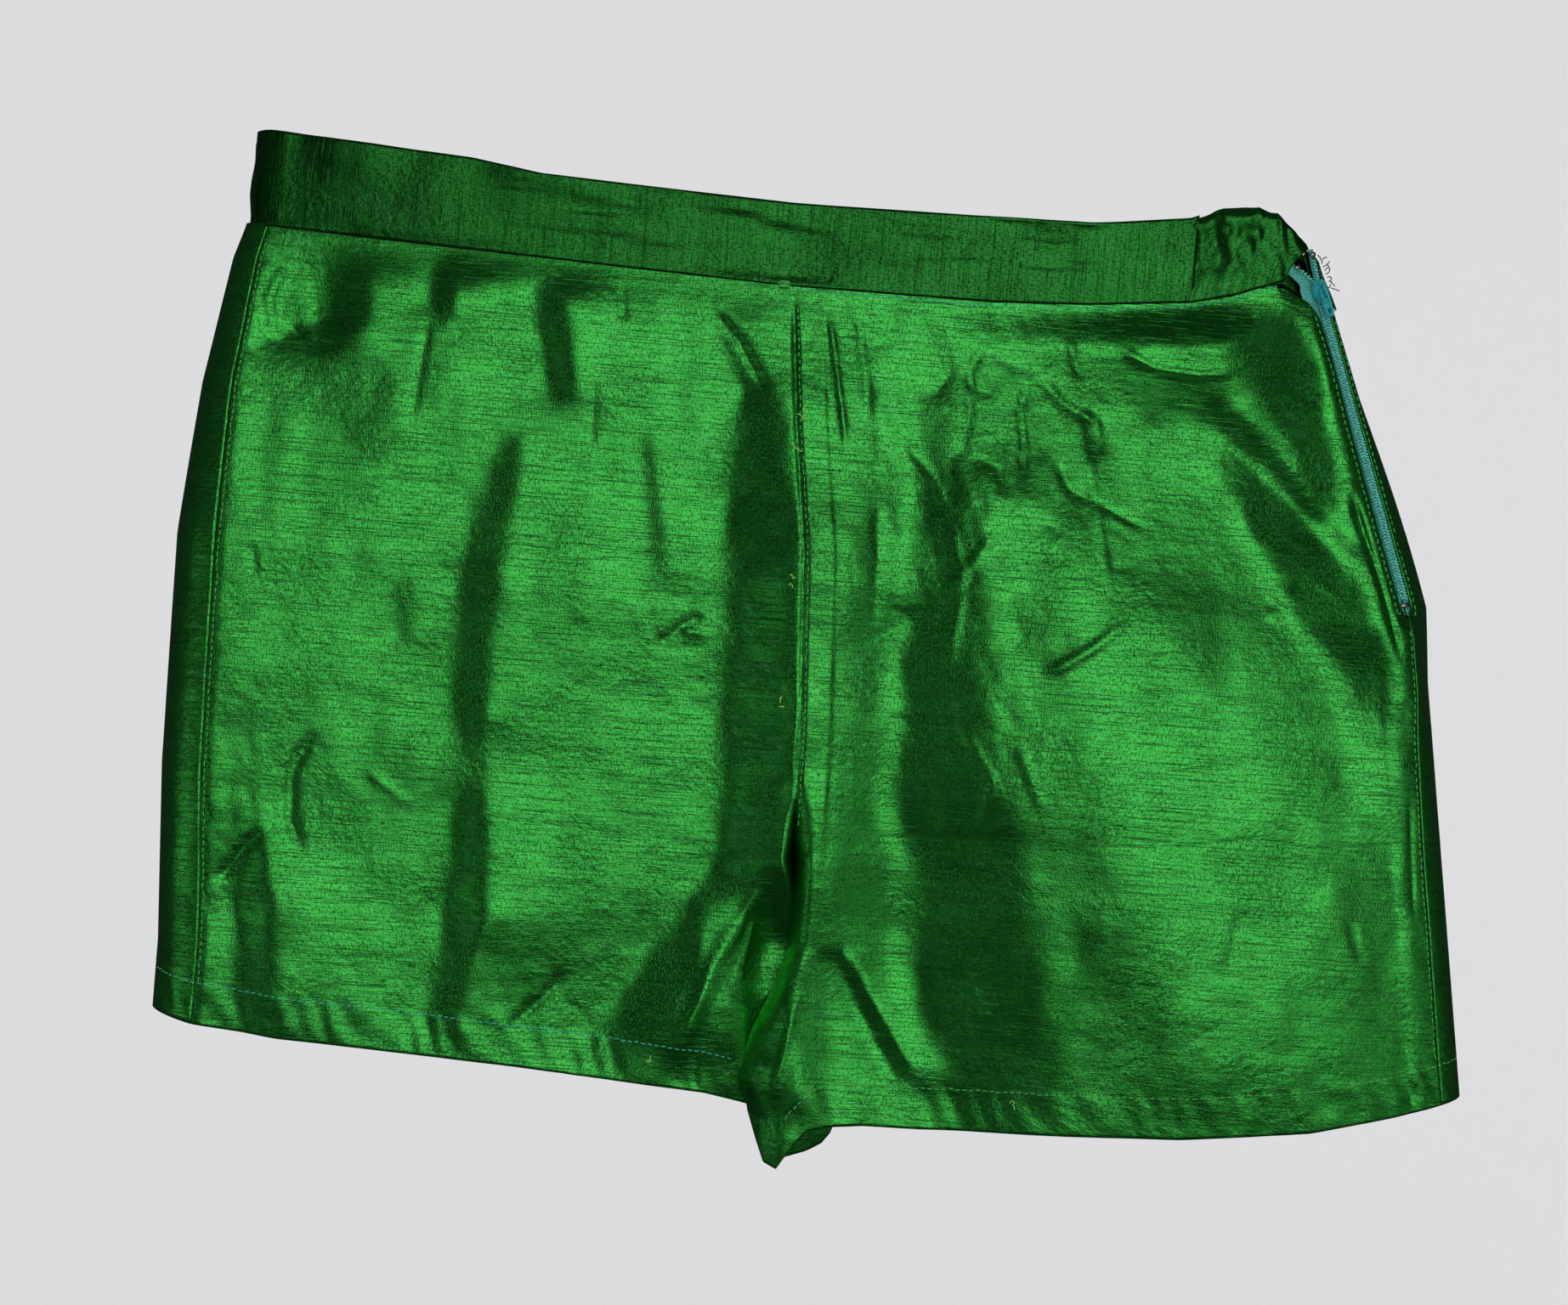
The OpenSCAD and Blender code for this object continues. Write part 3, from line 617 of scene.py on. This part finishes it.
FELT = plain_weave("interfacing_felt", (0.76, 0.76, 0.74), 0.95, pitch=1.4)

# ---- Panels ----
FRONT_STEP, BACK_STEP = 1.3, 2.0       # spacing of a panel's points
CLOTH_T = 0.5
SLOT_HALF = 3.6                        # half the width of the zip's opening, to the folded lips of cloth
GAP = 0.12


def side_seam_u(leg, z, away):
    angle = ZIP_TURN if leg == LEFT else SIDE_TURN
    return seam_angle_u(angle) - arc_u(z, away)


def panel_points(leg, front):
    """The outer face of a panel, as a grid of points from the waist seam down to the hem."""
    step = FRONT_STEP if front else BACK_STEP
    cols = int((240 if front else 270) / step)
    rows = int(330 / step)
    i = np.linspace(0, 1, cols)
    v = np.linspace(0, 1, rows)
    i, v = np.meshgrid(i, v)
    z = mix(-35.0, -345.0, v)
    for _ in range(12):
        slot = mix(GAP, SLOT_HALF, smooth(ZIP_END - 6, ZIP_END, z)) if leg == LEFT else GAP
        if leg == LEFT and front:
            slot = slot + 8 * smooth(-33, -15, z)
        seam = side_seam_u(leg, z, slot if front else -slot)
        u = mix(0.004, seam, i) if front else mix(seam, 1.996, i)
        p = skin(leg, u, z)
        top = waist_seam(p[..., 0]) + 1.2
        z = mix(z, mix(top, hem_z(leg, p[..., 0], not front), v), 0.6)
    return skin(leg, u, z)


PANELS = {
    "right_front_cloth": (RIGHT, True, "right_front_panel", (0.262, 0.325), 0.078),
    "left_front_cloth": (LEFT, True, "left_front_panel", (0.292, 0.345), 0.088),
    "right_back_cloth": (RIGHT, False, "right_back_panel", (0.285, 0.330), 0.090),
    "left_back_cloth": (LEFT, False, "left_back_panel", (0.315, 0.350), 0.098),
}
for name, (leg, front, node, flat, area) in PANELS.items():
    points = panel_points(leg, front)
    mesh = shell_mesh(name, points, CLOTH_T, cloth_uv(points), leg == LEFT)
    cloth = piece(name, mesh, SILK, "silk", node)


# ---- Waistband ----
BAND_LEFT, BAND_RIGHT = RIGHT_EDGE + WAIST_R, LEFT_EDGE + 18 * ZIP_FLARE - WAIST_R
QUARTER = WAIST_R * math.pi / 2
STRAIGHT = BAND_RIGHT - BAND_LEFT
SECTION_X = 146.0                      # where the flat front band ends and the gathers start
TO_ZIP = QUARTER + STRAIGHT + WAIST_R * math.radians(90 + ZIP_TURN)
TO_SECTION = 3 * QUARTER + STRAIGHT + BAND_RIGHT - SECTION_X
WHOLE_WAY = 4 * QUARTER + 2 * STRAIGHT


def waist_plan(s):
    """Place and outward direction at length s round the waist, from the right fold along the back."""
    right_turn = QUARTER + STRAIGHT
    left_turn = 3 * QUARTER + 2 * STRAIGHT
    angle = np.select(
        [s < QUARTER, s < right_turn, s < right_turn + 2 * QUARTER, s < left_turn],
        [np.pi - s / WAIST_R, np.pi / 2, np.pi / 2 - (s - right_turn) / WAIST_R, -np.pi / 2],
        -np.pi / 2 - (s - left_turn) / WAIST_R,
    )
    centre = np.select(
        [s < QUARTER, s < right_turn, s < right_turn + 2 * QUARTER, s < left_turn],
        [BAND_LEFT, BAND_LEFT + s - QUARTER, BAND_RIGHT, BAND_RIGHT - (s - right_turn - 2 * QUARTER)],
        BAND_LEFT,
    )
    return centre + WAIST_R * np.cos(angle), WAIST_R * np.sin(angle), np.cos(angle), np.sin(angle)


STRIP_ROWS = 30
TUNNEL = 5.4                           # depth of the gathered bands, from their front to their lining


def band_strip(name, s, lift, thick, material, slot, node, relief, trim=0.0, ruffle=0.0, tunnel=0.0):
    """A strip of the waistband along the lengths s, its outer face lifted by lift and by relief(x, t).

    t is 0 at the lower edge and 1 at the upper one, and s may differ from row to row. A strip with a
    tunnel goes on over its top and down again, so far behind its front.
    """
    t = np.linspace(0, 1, STRIP_ROWS)[:, None]
    over = np.zeros(t.shape)
    if tunnel:
        t, over = np.concatenate([t, t[::-1]]), np.concatenate([over, over + 1])
        s = np.concatenate([s + 0 * t[:STRIP_ROWS], (s + 0 * t[:STRIP_ROWS])[::-1]])
    t, s = t + 0 * s, s + 0 * t
    x, y, nx, ny = waist_plan(s)
    low = waist_seam(x) + trim
    high = upper_edge(x - 4.6 * smooth(165, 200, x)) - trim + ruffle * noise2(x, x * 0, 7, 60, 51)
    z = mix(low, high, t)
    rounding = (1 - 2 * over) * 0.3 * tunnel * smooth(0.9, 1.0, t)
    out = lift + relief(x, t) * (1 - 0.75 * over) - over * tunnel - rounding
    slant = -ZIP_FLARE * (z + 18) * smooth(165, 200, x)
    points = np.stack([x + nx * out + slant, y + ny * out, z], -1)
    mesh = shell_mesh(name, points, thick, cloth_uv(points), True)
    return piece(name, mesh, material, slot, node)


def band_z(x, t):
    return mix(waist_seam(x), upper_edge(x), t)


def flat_band_relief(x, t):
    """The flat band leans forward at its top between the clips, with long creases along it."""
    z = band_z(x, t)
    between = smooth(-135, -118, x) * (1 - smooth(100, 118, x))
    lean = 2.2 * smooth(0.45, 1.0, t) * between * (0.65 + 0.35 * noise2(x, z, 60, 60, 25))
    lean += 1.8 * smooth(0.35, 0.95, t) * smooth(-205, -190, x) * (1 - smooth(-178, -158, x))
    creases = 0.5 * noise2(x, z, 30, 3.6, 21) + 0.22 * noise2(x, z, 15, 1.9, 22)
    soft = 0.6 * noise2(x, z, 24, 26, 23) + 0.9 * noise2(x, z, 46, 80, 24)
    shallow = 0.15 + 0.85 * between * smooth(0.15, 0.45, t)
    return (creases * shallow + soft * smooth(0, 0.15, t)) * smooth(-222, -205, x) + lean


def gathers(seed, amount):
    """The relief of gathered cloth: slanting folds that grow towards the top of the band."""
    def relief(x, t):
        z = band_z(x, t)
        folds = noise2(x + 0.25 * z, z, 5.5, 17, seed) + 0.7 * noise2(x - 0.5 * z, z, 9, 14, seed + 1)
        small = 0.35 * noise2(x, z, 3.2, 5, seed + 2)
        return np.maximum(amount * (0.35 + 0.65 * t) * (folds + small) + 0.5, -1.4)
    return relief


def elastic_ribs(x, t):
    return 0.15 * np.sin(x * 2.2)


front_s = np.concatenate([np.arange(TO_SECTION - 1.5, WHOLE_WAY - QUARTER, 1.5),
                          np.linspace(WHOLE_WAY - QUARTER, WHOLE_WAY - 0.2, 18)])[None, :]
outer = band_strip("front_band_outer", front_s, 0.5, 0.5, SILK_UP_SHADED, "silk", "waistband_front",
                   flat_band_relief)
felt = band_strip("front_band_interfacing", front_s[:, 4:], -0.6, 0.4, FELT, "interfacing",
                  "waistband_interfacing", flat_band_relief, trim=1.5)
facing = band_strip("front_band_facing", front_s, -1.6, 0.5, SILK_UP_SHADED, "silk_inside",
                    "waistband_front_facing", flat_band_relief)

side_share = np.linspace(0, 1, 76)[None, :]
side_rows = np.linspace(0, 1, 30)[:, None]
side_s = mix(TO_ZIP + mix(13.0, -3.5, side_rows), TO_SECTION + 1.5, side_share)
side_band = band_strip("side_band_gathers", side_s, 0.3, 0.6, SILK_UP_SHADED, "silk", "waistband_side",
                       gathers(31, 2.0), ruffle=1.6, tunnel=TUNNEL)
elastic_s = np.linspace(TO_ZIP + 18, TO_SECTION - 1, 60)[None, :]
side_elastic = band_strip("side_elastic_strip", elastic_s, -2.4, 1.0, ELASTIC, "elastic", "elastic_side",
                          elastic_ribs, trim=5.0)

back_s = np.concatenate([np.linspace(0.2, QUARTER, 18),
                         np.arange(QUARTER + 1.1, QUARTER + STRAIGHT, 1.1),
                         np.linspace(QUARTER + STRAIGHT, TO_ZIP - 5.6, 34)])[None, :]
back_band = band_strip("back_band_gathers", back_s, 0.3, 0.6, SILK_UP_SHADED, "silk", "waistband_back",
                       gathers(41, 1.6), ruffle=1.2, tunnel=TUNNEL)
back_elastic = band_strip("back_elastic_strip", back_s[:, :-24], -2.4, 1.0, ELASTIC, "elastic",
                          "elastic_back", elastic_ribs, trim=5.0)

# ---- Hem turnings ----
def hem_turning(leg):
    cols, rows = 260, 12
    u, t = np.meshgrid(np.linspace(0.02, 1.98, cols), np.linspace(0, 1, rows))
    z = np.full(u.shape, -345.0)
    for _ in range(4):
        p = skin(leg, u, z)
        z = hem_z(leg, p[..., 0], u > 1) + mix(HEM_H, 0.3, t)
    return skin(leg, u, z, -CLOTH_T - 0.35)


for leg, name, node, flat in ((RIGHT, "right_hem_inside", "right_hem_turning", (0.50, 0.0165)),
                              (LEFT, "left_hem_inside", "left_hem_turning", (0.60, 0.0165))):
    points = hem_turning(leg)
    mesh = shell_mesh(name, points, 0.45, cloth_uv(points), leg == LEFT)
    turned = piece(name, mesh, SILK_IN, "silk_inside", node)


# ---- Sewing ----
SIDES = 6                              # of a thread's or a coil's tube
CAPS = [(0, 5, 4, 3), (0, 3, 2, 1)]    # the faces that close its end


def tube_points(path, radius):
    """Vertices and faces of a round tube along the path, with both ends drawn in."""
    path = np.asarray(path, float)
    k = len(path)
    t = np.gradient(path, axis=0)
    t /= np.linalg.norm(t, axis=1, keepdims=True) + 1e-9
    ref = np.array([0.13, 0.99, 0.07])
    a = np.cross(t, ref)
    a /= np.linalg.norm(a, axis=1, keepdims=True) + 1e-9
    b = np.cross(t, a)
    ang = np.arange(SIDES) * 2 * np.pi / SIDES
    r = np.full(k, radius, float)
    r[0] = r[-1] = radius * 0.35
    round_way = np.cos(ang)[None, :, None] * a[:, None] + np.sin(ang)[None, :, None] * b[:, None]
    rings = path[:, None] + r[:, None, None] * round_way
    verts = rings.reshape(-1, 3)
    faces = []
    for s in range(k - 1):
        for q in range(SIDES):
            p = (q + 1) % SIDES
            faces.append((s * SIDES + q, s * SIDES + p, (s + 1) * SIDES + p, (s + 1) * SIDES + q))
    end = (k - 1) * SIDES
    faces += CAPS + [tuple(end + c for c in reversed(f)) for f in CAPS]
    return verts, np.array(faces)


def tubes_mesh(name, paths, radius):
    verts, faces, base = [], [], 0
    for path in paths:
        v, f = tube_points(path, radius)
        verts.append(v)
        faces.append(f + base)
        base += len(v)
    return quad_mesh(name, np.concatenate(verts) * MM, np.concatenate(faces))


def resample(path, pitch):
    path = np.asarray(path, float)
    d = np.concatenate([[0], np.cumsum(np.linalg.norm(np.diff(path, axis=0), axis=1))])
    count = max(2, int(d[-1] / pitch))
    s = np.linspace(0, d[-1], count + 1)
    return np.stack([np.interp(s, d, path[:, c]) for c in range(3)], 1)


def stitches(name, path, outward, material, slot, nodes, pitch=2.8, length=2.1, radius=0.22, seed=1):
    """Separate stitches along the path. outward(point) gives the direction away from the cloth."""
    r = np.random.default_rng(seed)
    marks = resample(path, pitch)
    paths = []
    for a, b in zip(marks[:-1], marks[1:]):
        along_seam = (b - a) / (np.linalg.norm(b - a) + 1e-9)
        out = outward(a)
        aside = np.cross(along_seam, out)
        half = length / 2 * r.uniform(0.88, 1.08)
        mid = (a + b) / 2 + aside * r.normal(0, 0.12)
        tilt = aside * r.normal(0, 0.10)
        paths.append([mid + (along_seam * half + tilt) * s + out * (0.12 - 0.30 * s * s)
                      for s in (-1, -0.6, 0, 0.6, 1)])
    return piece(name, tubes_mesh(name, paths, radius), material, slot, *nodes)


def skin_path(leg, u, z):
    """A line on the cloth's face, for single values of u or z or arrays of them."""
    u, z = np.broadcast_arrays(np.asarray(u, float), np.asarray(z, float))
    return skin(leg, u[None], z[None], 0.05)[0]


def front_out(_):
    return np.array([0.0, -1.0, 0.0])


def back_out(_):
    return np.array([0.0, 1.0, 0.0])


def round_out(leg):
    def out(p):
        cx = 120 * leg
        d = np.array([(p[0] - cx) * 0.02, p[1], 0.0])
        return d / (np.linalg.norm(d) + 1e-9)
    return out


def u_of_x(leg, x, z, front=True):
    """The u at which the cloth's face has the given x."""
    lo, hi = (0.0, 1.0) if front else (1.0, 2.0)
    us = np.linspace(lo, hi, 400)
    out = []
    for xv, zv in zip(np.atleast_1d(x), np.atleast_1d(z)):
        p = skin(leg, us[None], np.full((1, 400), zv))[0]
        out.append(us[np.argmin(np.abs(p[:, 0] - xv))])
    return np.array(out)


seam_z = np.linspace(-37, -245, 90)
seam_x = centre_line(seam_z) + 1.6     # the stitches lie this far beside the seam
stitches("centre_front_stitches", skin_path(LEFT, u_of_x(LEFT, seam_x, seam_z), seam_z), front_out,
         GREEN, "thread_green", ["centre_front_stitching"], pitch=2.9, seed=2)
stitches("centre_back_stitches", skin_path(LEFT, u_of_x(LEFT, seam_x, seam_z, False), seam_z), back_out,
         GREEN, "thread_green", ["centre_back_stitching"], pitch=2.9, seed=3)
side_z = np.linspace(-34, -324, 120)
stitches("right_side_stitches", skin_path(RIGHT, side_seam_u(RIGHT, side_z, 1.4), side_z), front_out,
         GREEN, "thread_green", ["right_side_stitching"], seed=4)
left_z = np.linspace(-150, -316, 80)
stitches("left_side_stitches", skin_path(LEFT, side_seam_u(LEFT, left_z, 1.4), left_z), front_out,
         GREEN, "thread_green", ["left_side_stitching"], seed=5)
for leg, name, node, low in ((RIGHT, "right_inseam_stitches", "right_inseam_stitching", -332),
                             (LEFT, "left_inseam_stitches", "left_inseam_stitching", -352)):
    z = np.linspace(CROTCH_Z - 8, low, 60)
    stitches(name, skin_path(leg, 1.9, z), back_out, GREEN, "thread_green", [node], seed=6)


def hem_line(leg, x0, x1, front, count):
    x = np.linspace(x0, x1, count)
    z = hem_z(leg, x, not front) + HEM_H
    return skin_path(leg, u_of_x(leg, x, z, front), z)


for leg, name, node, ends, material, slot in (
    (RIGHT, "right_hem_stitches", "right_hem_stitching", (-236, -8), TEAL, "thread_teal"),
    (LEFT, "left_hem_stitches", "left_hem_stitching", (14, 276), GREEN, "thread_green"),
):
    lines = [hem_line(leg, *ends, True, 160), hem_line(leg, *ends[::-1], False, 160)]
    loop = np.concatenate(lines)
    stitches(name, loop, round_out(leg), material, slot, [node], pitch=2.7, seed=8)

waist_x = np.linspace(-7, 181, 120)
waist_z = waist_seam(waist_x) - 1.4
stitches("waist_stitches", skin_path(LEFT, u_of_x(LEFT, waist_x, waist_z), waist_z), front_out,
         TEAL, "thread_teal", ["waist_stitching"], pitch=2.7, radius=0.26, seed=9)
zip_z = np.linspace(-30, -144, 60)
zip_lines = []
for sign in (1, -1):
    zip_lines.append(skin_path(LEFT, side_seam_u(LEFT, zip_z, sign * (SLOT_HALF + 2.4)), zip_z))
stitches("zip_stitches", np.concatenate([zip_lines[0], zip_lines[1][::-1]]), front_out,
         GREEN, "thread_green", ["zip_stitching"], seed=10)

# ---- Zip ----
ZIP_TOP_Z = -20.0


def zip_line(z):
    r = half_depth(z)
    c, s = math.cos(math.radians(ZIP_TURN)), math.sin(math.radians(ZIP_TURN))
    return np.array([left_fold(z) - r * (1 - c), -r * s, z], float)


zip_origin = zip_line(ZIP_TOP_Z)
zip_low = zip_line(ZIP_END)
ZIP_LENGTH = np.linalg.norm(zip_origin - zip_low)
zip_up = (zip_origin - zip_low) / ZIP_LENGTH
side_way = np.array([math.sin(math.radians(ZIP_TURN)), math.cos(math.radians(ZIP_TURN)), 0])
zip_across = side_way - (side_way @ zip_up) * zip_up
zip_across /= np.linalg.norm(zip_across)
zip_in = np.cross(zip_up, zip_across)


def in_zip(x, y, s):
    """A point of the zip: x towards the back panel, y into the garment, s up the zip from the slider."""
    x, y, s = np.broadcast_arrays(np.asarray(x, float), np.asarray(y, float), np.asarray(s, float))
    return zip_origin + x[..., None] * zip_across + y[..., None] * zip_in + s[..., None] * zip_up


TOP_STOP_S = 14.2
FRONT_LEAN, BACK_LEAN = -7.0, 1.3      # how far each half has moved aside at the top


def parting(side, s):
    """How far a half of the zip stands aside at height s: none below the slider, most at the top."""
    lean = FRONT_LEAN if side < 0 else BACK_LEAN
    return lean * np.clip((s - 4) / (TOP_STOP_S - 4), 0, 1.2) ** 1.2 + side * 0.35 * smooth(0, 2, s)


def sink(side, s):
    return (1.6 if side < 0 else 0.4) * smooth(3, 11, s)


for side, part in ((-1, "front"), (1, "back")):
    s = np.linspace(17.5 if side > 0 else 13.5, -ZIP_LENGTH - 4, 150)
    a = np.linspace(0.5, 7.5, 10)
    aa, ss = np.meshgrid(a, s)
    width = mix(1.0, 0.42 if side > 0 else 0.9, smooth(0, 4, ss))
    curve = (aa * width) ** 2 / 40
    p = in_zip(side * aa * width + parting(side, ss), 1.2 + curve + sink(side, ss), ss)
    mesh = shell_mesh(f"zip_{part}_tape", p, 0.4, np.stack([aa * UV_SCALE, ss * UV_SCALE], -1), side > 0)
    piece(f"zip_{part}_tape", mesh, TAPE_SHADED, "zip_tape", f"zip_tape_{part}")
    pitch = 1.25
    top = 13.2 if side > 0 else 10.0
    turns = int((ZIP_LENGTH + top - 1.5) / pitch)
    theta = np.arange(turns * 10 + 1) * 2 * np.pi / 10
    s = top - theta / (2 * np.pi) * pitch
    x = side * (1.12 + 0.95 * np.cos(theta)) + parting(side, s)
    y = 0.2 + 0.45 * np.sin(theta) + sink(side, s)
    coil = in_zip(x, y, s)
    mesh = tubes_mesh(f"zip_{part}_coil", [coil], 0.24)
    piece(f"zip_{part}_coil", mesh, COIL_HIGHLIT, "zip_coil", f"zip_coil_{part}")


def rounded_block(centre, size, across_axis, in_axis, up_axis, bevel=0.35):
    """A block with bevelled edges, as points and faces."""
    mesh = bpy.data.meshes.new("block")
    bm = bmesh.new()
    bmesh.ops.create_cube(bm, size=1.0)
    for v in bm.verts:
        v.co = [v.co[0] * size[0], v.co[1] * size[1], v.co[2] * size[2]]
    bmesh.ops.bevel(bm, geom=bm.edges[:], offset=bevel, segments=3, affect="EDGES")
    for v in bm.verts:
        p = centre + v.co[0] * across_axis + v.co[1] * in_axis + v.co[2] * up_axis
        v.co = [float(c) * MM for c in p]
    bm.to_mesh(mesh)
    bm.free()
    mesh.polygons.foreach_set("use_smooth", np.ones(len(mesh.polygons), bool))
    return mesh


def joined(name, meshes):
    bm = bmesh.new()
    for m in meshes:
        bm.from_mesh(m)
    out = bpy.data.meshes.new(name)
    bm.to_mesh(out)
    bm.free()
    out.polygons.foreach_set("use_smooth", np.ones(len(out.polygons), bool))
    return out


stops = []
for side, s in ((-1, 11.0), (1, TOP_STOP_S + 0.9)):
    c = in_zip(side * 1.3 + float(parting(side, np.array(s))), 0.5 + float(sink(side, np.array(s))), s)
    stops.append(rounded_block(c, (2.4, 1.6, 2.0), zip_across, zip_in, zip_up))
piece("top_stops", joined("top_stops", stops), STOP, "stop_metal", "zip_top_stops")
low_stop = rounded_block(in_zip(0.0, 0.4, -ZIP_LENGTH - 0.2), (4.6, 1.5, 2.0), zip_across, zip_in, zip_up)
piece("bottom_stop", low_stop, STOP, "stop_metal", "zip_bottom_stop")

for node in ("zip_slider", "zip_pull"):
    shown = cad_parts[node]
    shown.data.materials.clear()
    shown.data.materials.append(PAINT)

# ---- Knot at the centre, loose threads ----
knot = []
knot_centre = np.array([-12.0, -15.6, -34.5])
for k in range(7):
    a = np.linspace(0, 2 * np.pi, 14) + k
    turn = [2.2 * np.cos(a) * (1 - 0.1 * k), 0.5 * np.sin(2 * a + k), 1.2 * np.sin(a + 0.5 * k)]
    knot.append(knot_centre + np.stack(turn, 1))
piece("waist_knot", tubes_mesh("waist_knot", knot, 0.2), GREEN, "thread_green", "bar_tack")


def wisp(start, way, length, curl, seed):
    """A loose end of thread that wanders off from start."""
    r = np.random.default_rng(seed)
    n = 12
    p, d = [np.array(start, float)], np.array(way, float)
    for _ in range(n):
        d = d / np.linalg.norm(d)
        p.append(p[-1] + d * length / n)
        d = d + r.normal(0, curl, 3) * np.array([1, 0.35, 1])
    return np.array(p)


SEAM_ENDS_Z = (-84, -88, -100, -148, -152, -196, -199)
HEM_ENDS = ((100, -345), (216, -250), (-40, -338))
lime = [wisp((-1, -25, z), (0.6, -0.5, 0.4), 5, 0.9, k) for k, z in enumerate(SEAM_ENDS_Z)]
lime += [wisp((x, -26, z), (0.7, -0.4, 0.3), 7, 0.7, 20 + k) for k, (x, z) in enumerate(HEM_ENDS)]
piece("loose_green_threads", tubes_mesh("loose_green_threads", lime, 0.16), LIME, "thread_green")
dark = []
for k in range(9):
    way = zip_across * 0.8 + zip_up * (0.9 - 0.16 * k) - zip_in * 0.1
    dark.append(wisp(in_zip(5.2 + 0.2 * k, -0.2, 12.0 - 1.4 * k), way, 4.5, 0.4, 40 + k))
piece("frayed_dark_threads", tubes_mesh("frayed_dark_threads", dark, 0.2), NAVY, "thread_teal")

# ---- Camera, lights and floor ----
TILT = math.radians(4.6)
VIEW_MM = 615.0                        # width of the view at the garment
LENS, SENSOR = 70.0, 36.0
AIM = np.array([-0.7, -10.0, -178.0])
distance = VIEW_MM * LENS / SENSOR
camera = bpy.data.objects.new("camera", bpy.data.cameras.new("camera"))
bpy.context.scene.collection.objects.link(camera)
camera.data.lens, camera.data.sensor_width = LENS, SENSOR
camera.data.clip_end = 20
camera.location = (AIM[0] * MM, (AIM[1] - distance) * MM, AIM[2] * MM)
camera.rotation_euler = (math.radians(90), -TILT, 0)
bpy.context.scene.camera = camera

CENTRE = (0.02, 0, -0.18)              # the middle of the garment, in metres


def area_light(name, location, size, power):
    """A soft rectangular light that faces the garment."""
    data = bpy.data.lights.new(name, "AREA")
    data.shape, data.size, data.size_y = "RECTANGLE", size[0], size[1]
    data.energy = power
    obj = bpy.data.objects.new(name, data)
    bpy.context.scene.collection.objects.link(obj)
    obj.location = location
    obj.rotation_euler = (Vector(CENTRE) - Vector(location)).to_track_quat("-Z", "Y").to_euler()
    obj.visible_camera = False


area_light("window", (0.50, -2.2, 0.20), (1.85, 1.7), 12.5)
area_light("back_window", (0.2, 2.2, -0.1), (1.7, 1.4), 9)
area_light("left_fill", (-2.1, -1.1, -0.70), (1.4, 0.5), 1.4)
area_light("right_fill", (2.1, -1.1, -0.70), (1.4, 0.5), 1.4)
area_light("ceiling_light", (0, 0, 2.2), (3.0, 3.0), 2)

world = bpy.data.worlds.new("room")
bpy.context.scene.world = world
world.use_nodes = True
world.node_tree.nodes["Background"].inputs["Color"].default_value = (0.9, 0.95, 1.0, 1)
world.node_tree.nodes["Background"].inputs["Strength"].default_value = 0.018
bpy.context.scene.view_settings.view_transform = "Standard"


def backdrop():
    """A round pale room whose floor curves up into its wall; the cloth's gloss doesn't show it."""
    radius, corner, floor_z, top_z = 2.8, 0.9, -1.4, 2.6
    profile = [(0.001, floor_z), (radius - corner, floor_z)]
    for a in np.linspace(0.1, math.pi / 2, 14):
        profile.append((radius - corner + corner * math.sin(a), floor_z + corner - corner * math.cos(a)))
    profile += [(radius, top_z), (0.001, top_z + 0.1)]
    turns = 96
    angles = np.arange(turns) * 2 * np.pi / turns
    rings = np.array([[(r * math.cos(a), r * math.sin(a), z) for a in angles] for r, z in profile])
    m = len(profile)
    j, i = np.meshgrid(np.arange(m - 1), np.arange(turns), indexing="ij")
    a, b = (j * turns + i).ravel(), (j * turns + (i + 1) % turns).ravel()
    mesh = quad_mesh("backdrop", rings.reshape(-1, 3), np.stack([a, b, b + turns, a + turns], 1))
    obj = bpy.data.objects.new("backdrop", mesh)
    bpy.context.scene.collection.objects.link(obj)
    mat, nodes, links, bsdf = new_material("pale_wall")
    bsdf.inputs["Base Color"].default_value = (0.60, 0.60, 0.61, 1)
    bsdf.inputs["Roughness"].default_value = 0.95
    bsdf.inputs["Emission Color"].default_value = (1, 1, 1, 1)
    bsdf.inputs["Emission Strength"].default_value = 0.27
    mesh.materials.append(mat)
    obj.visible_glossy = False


backdrop()
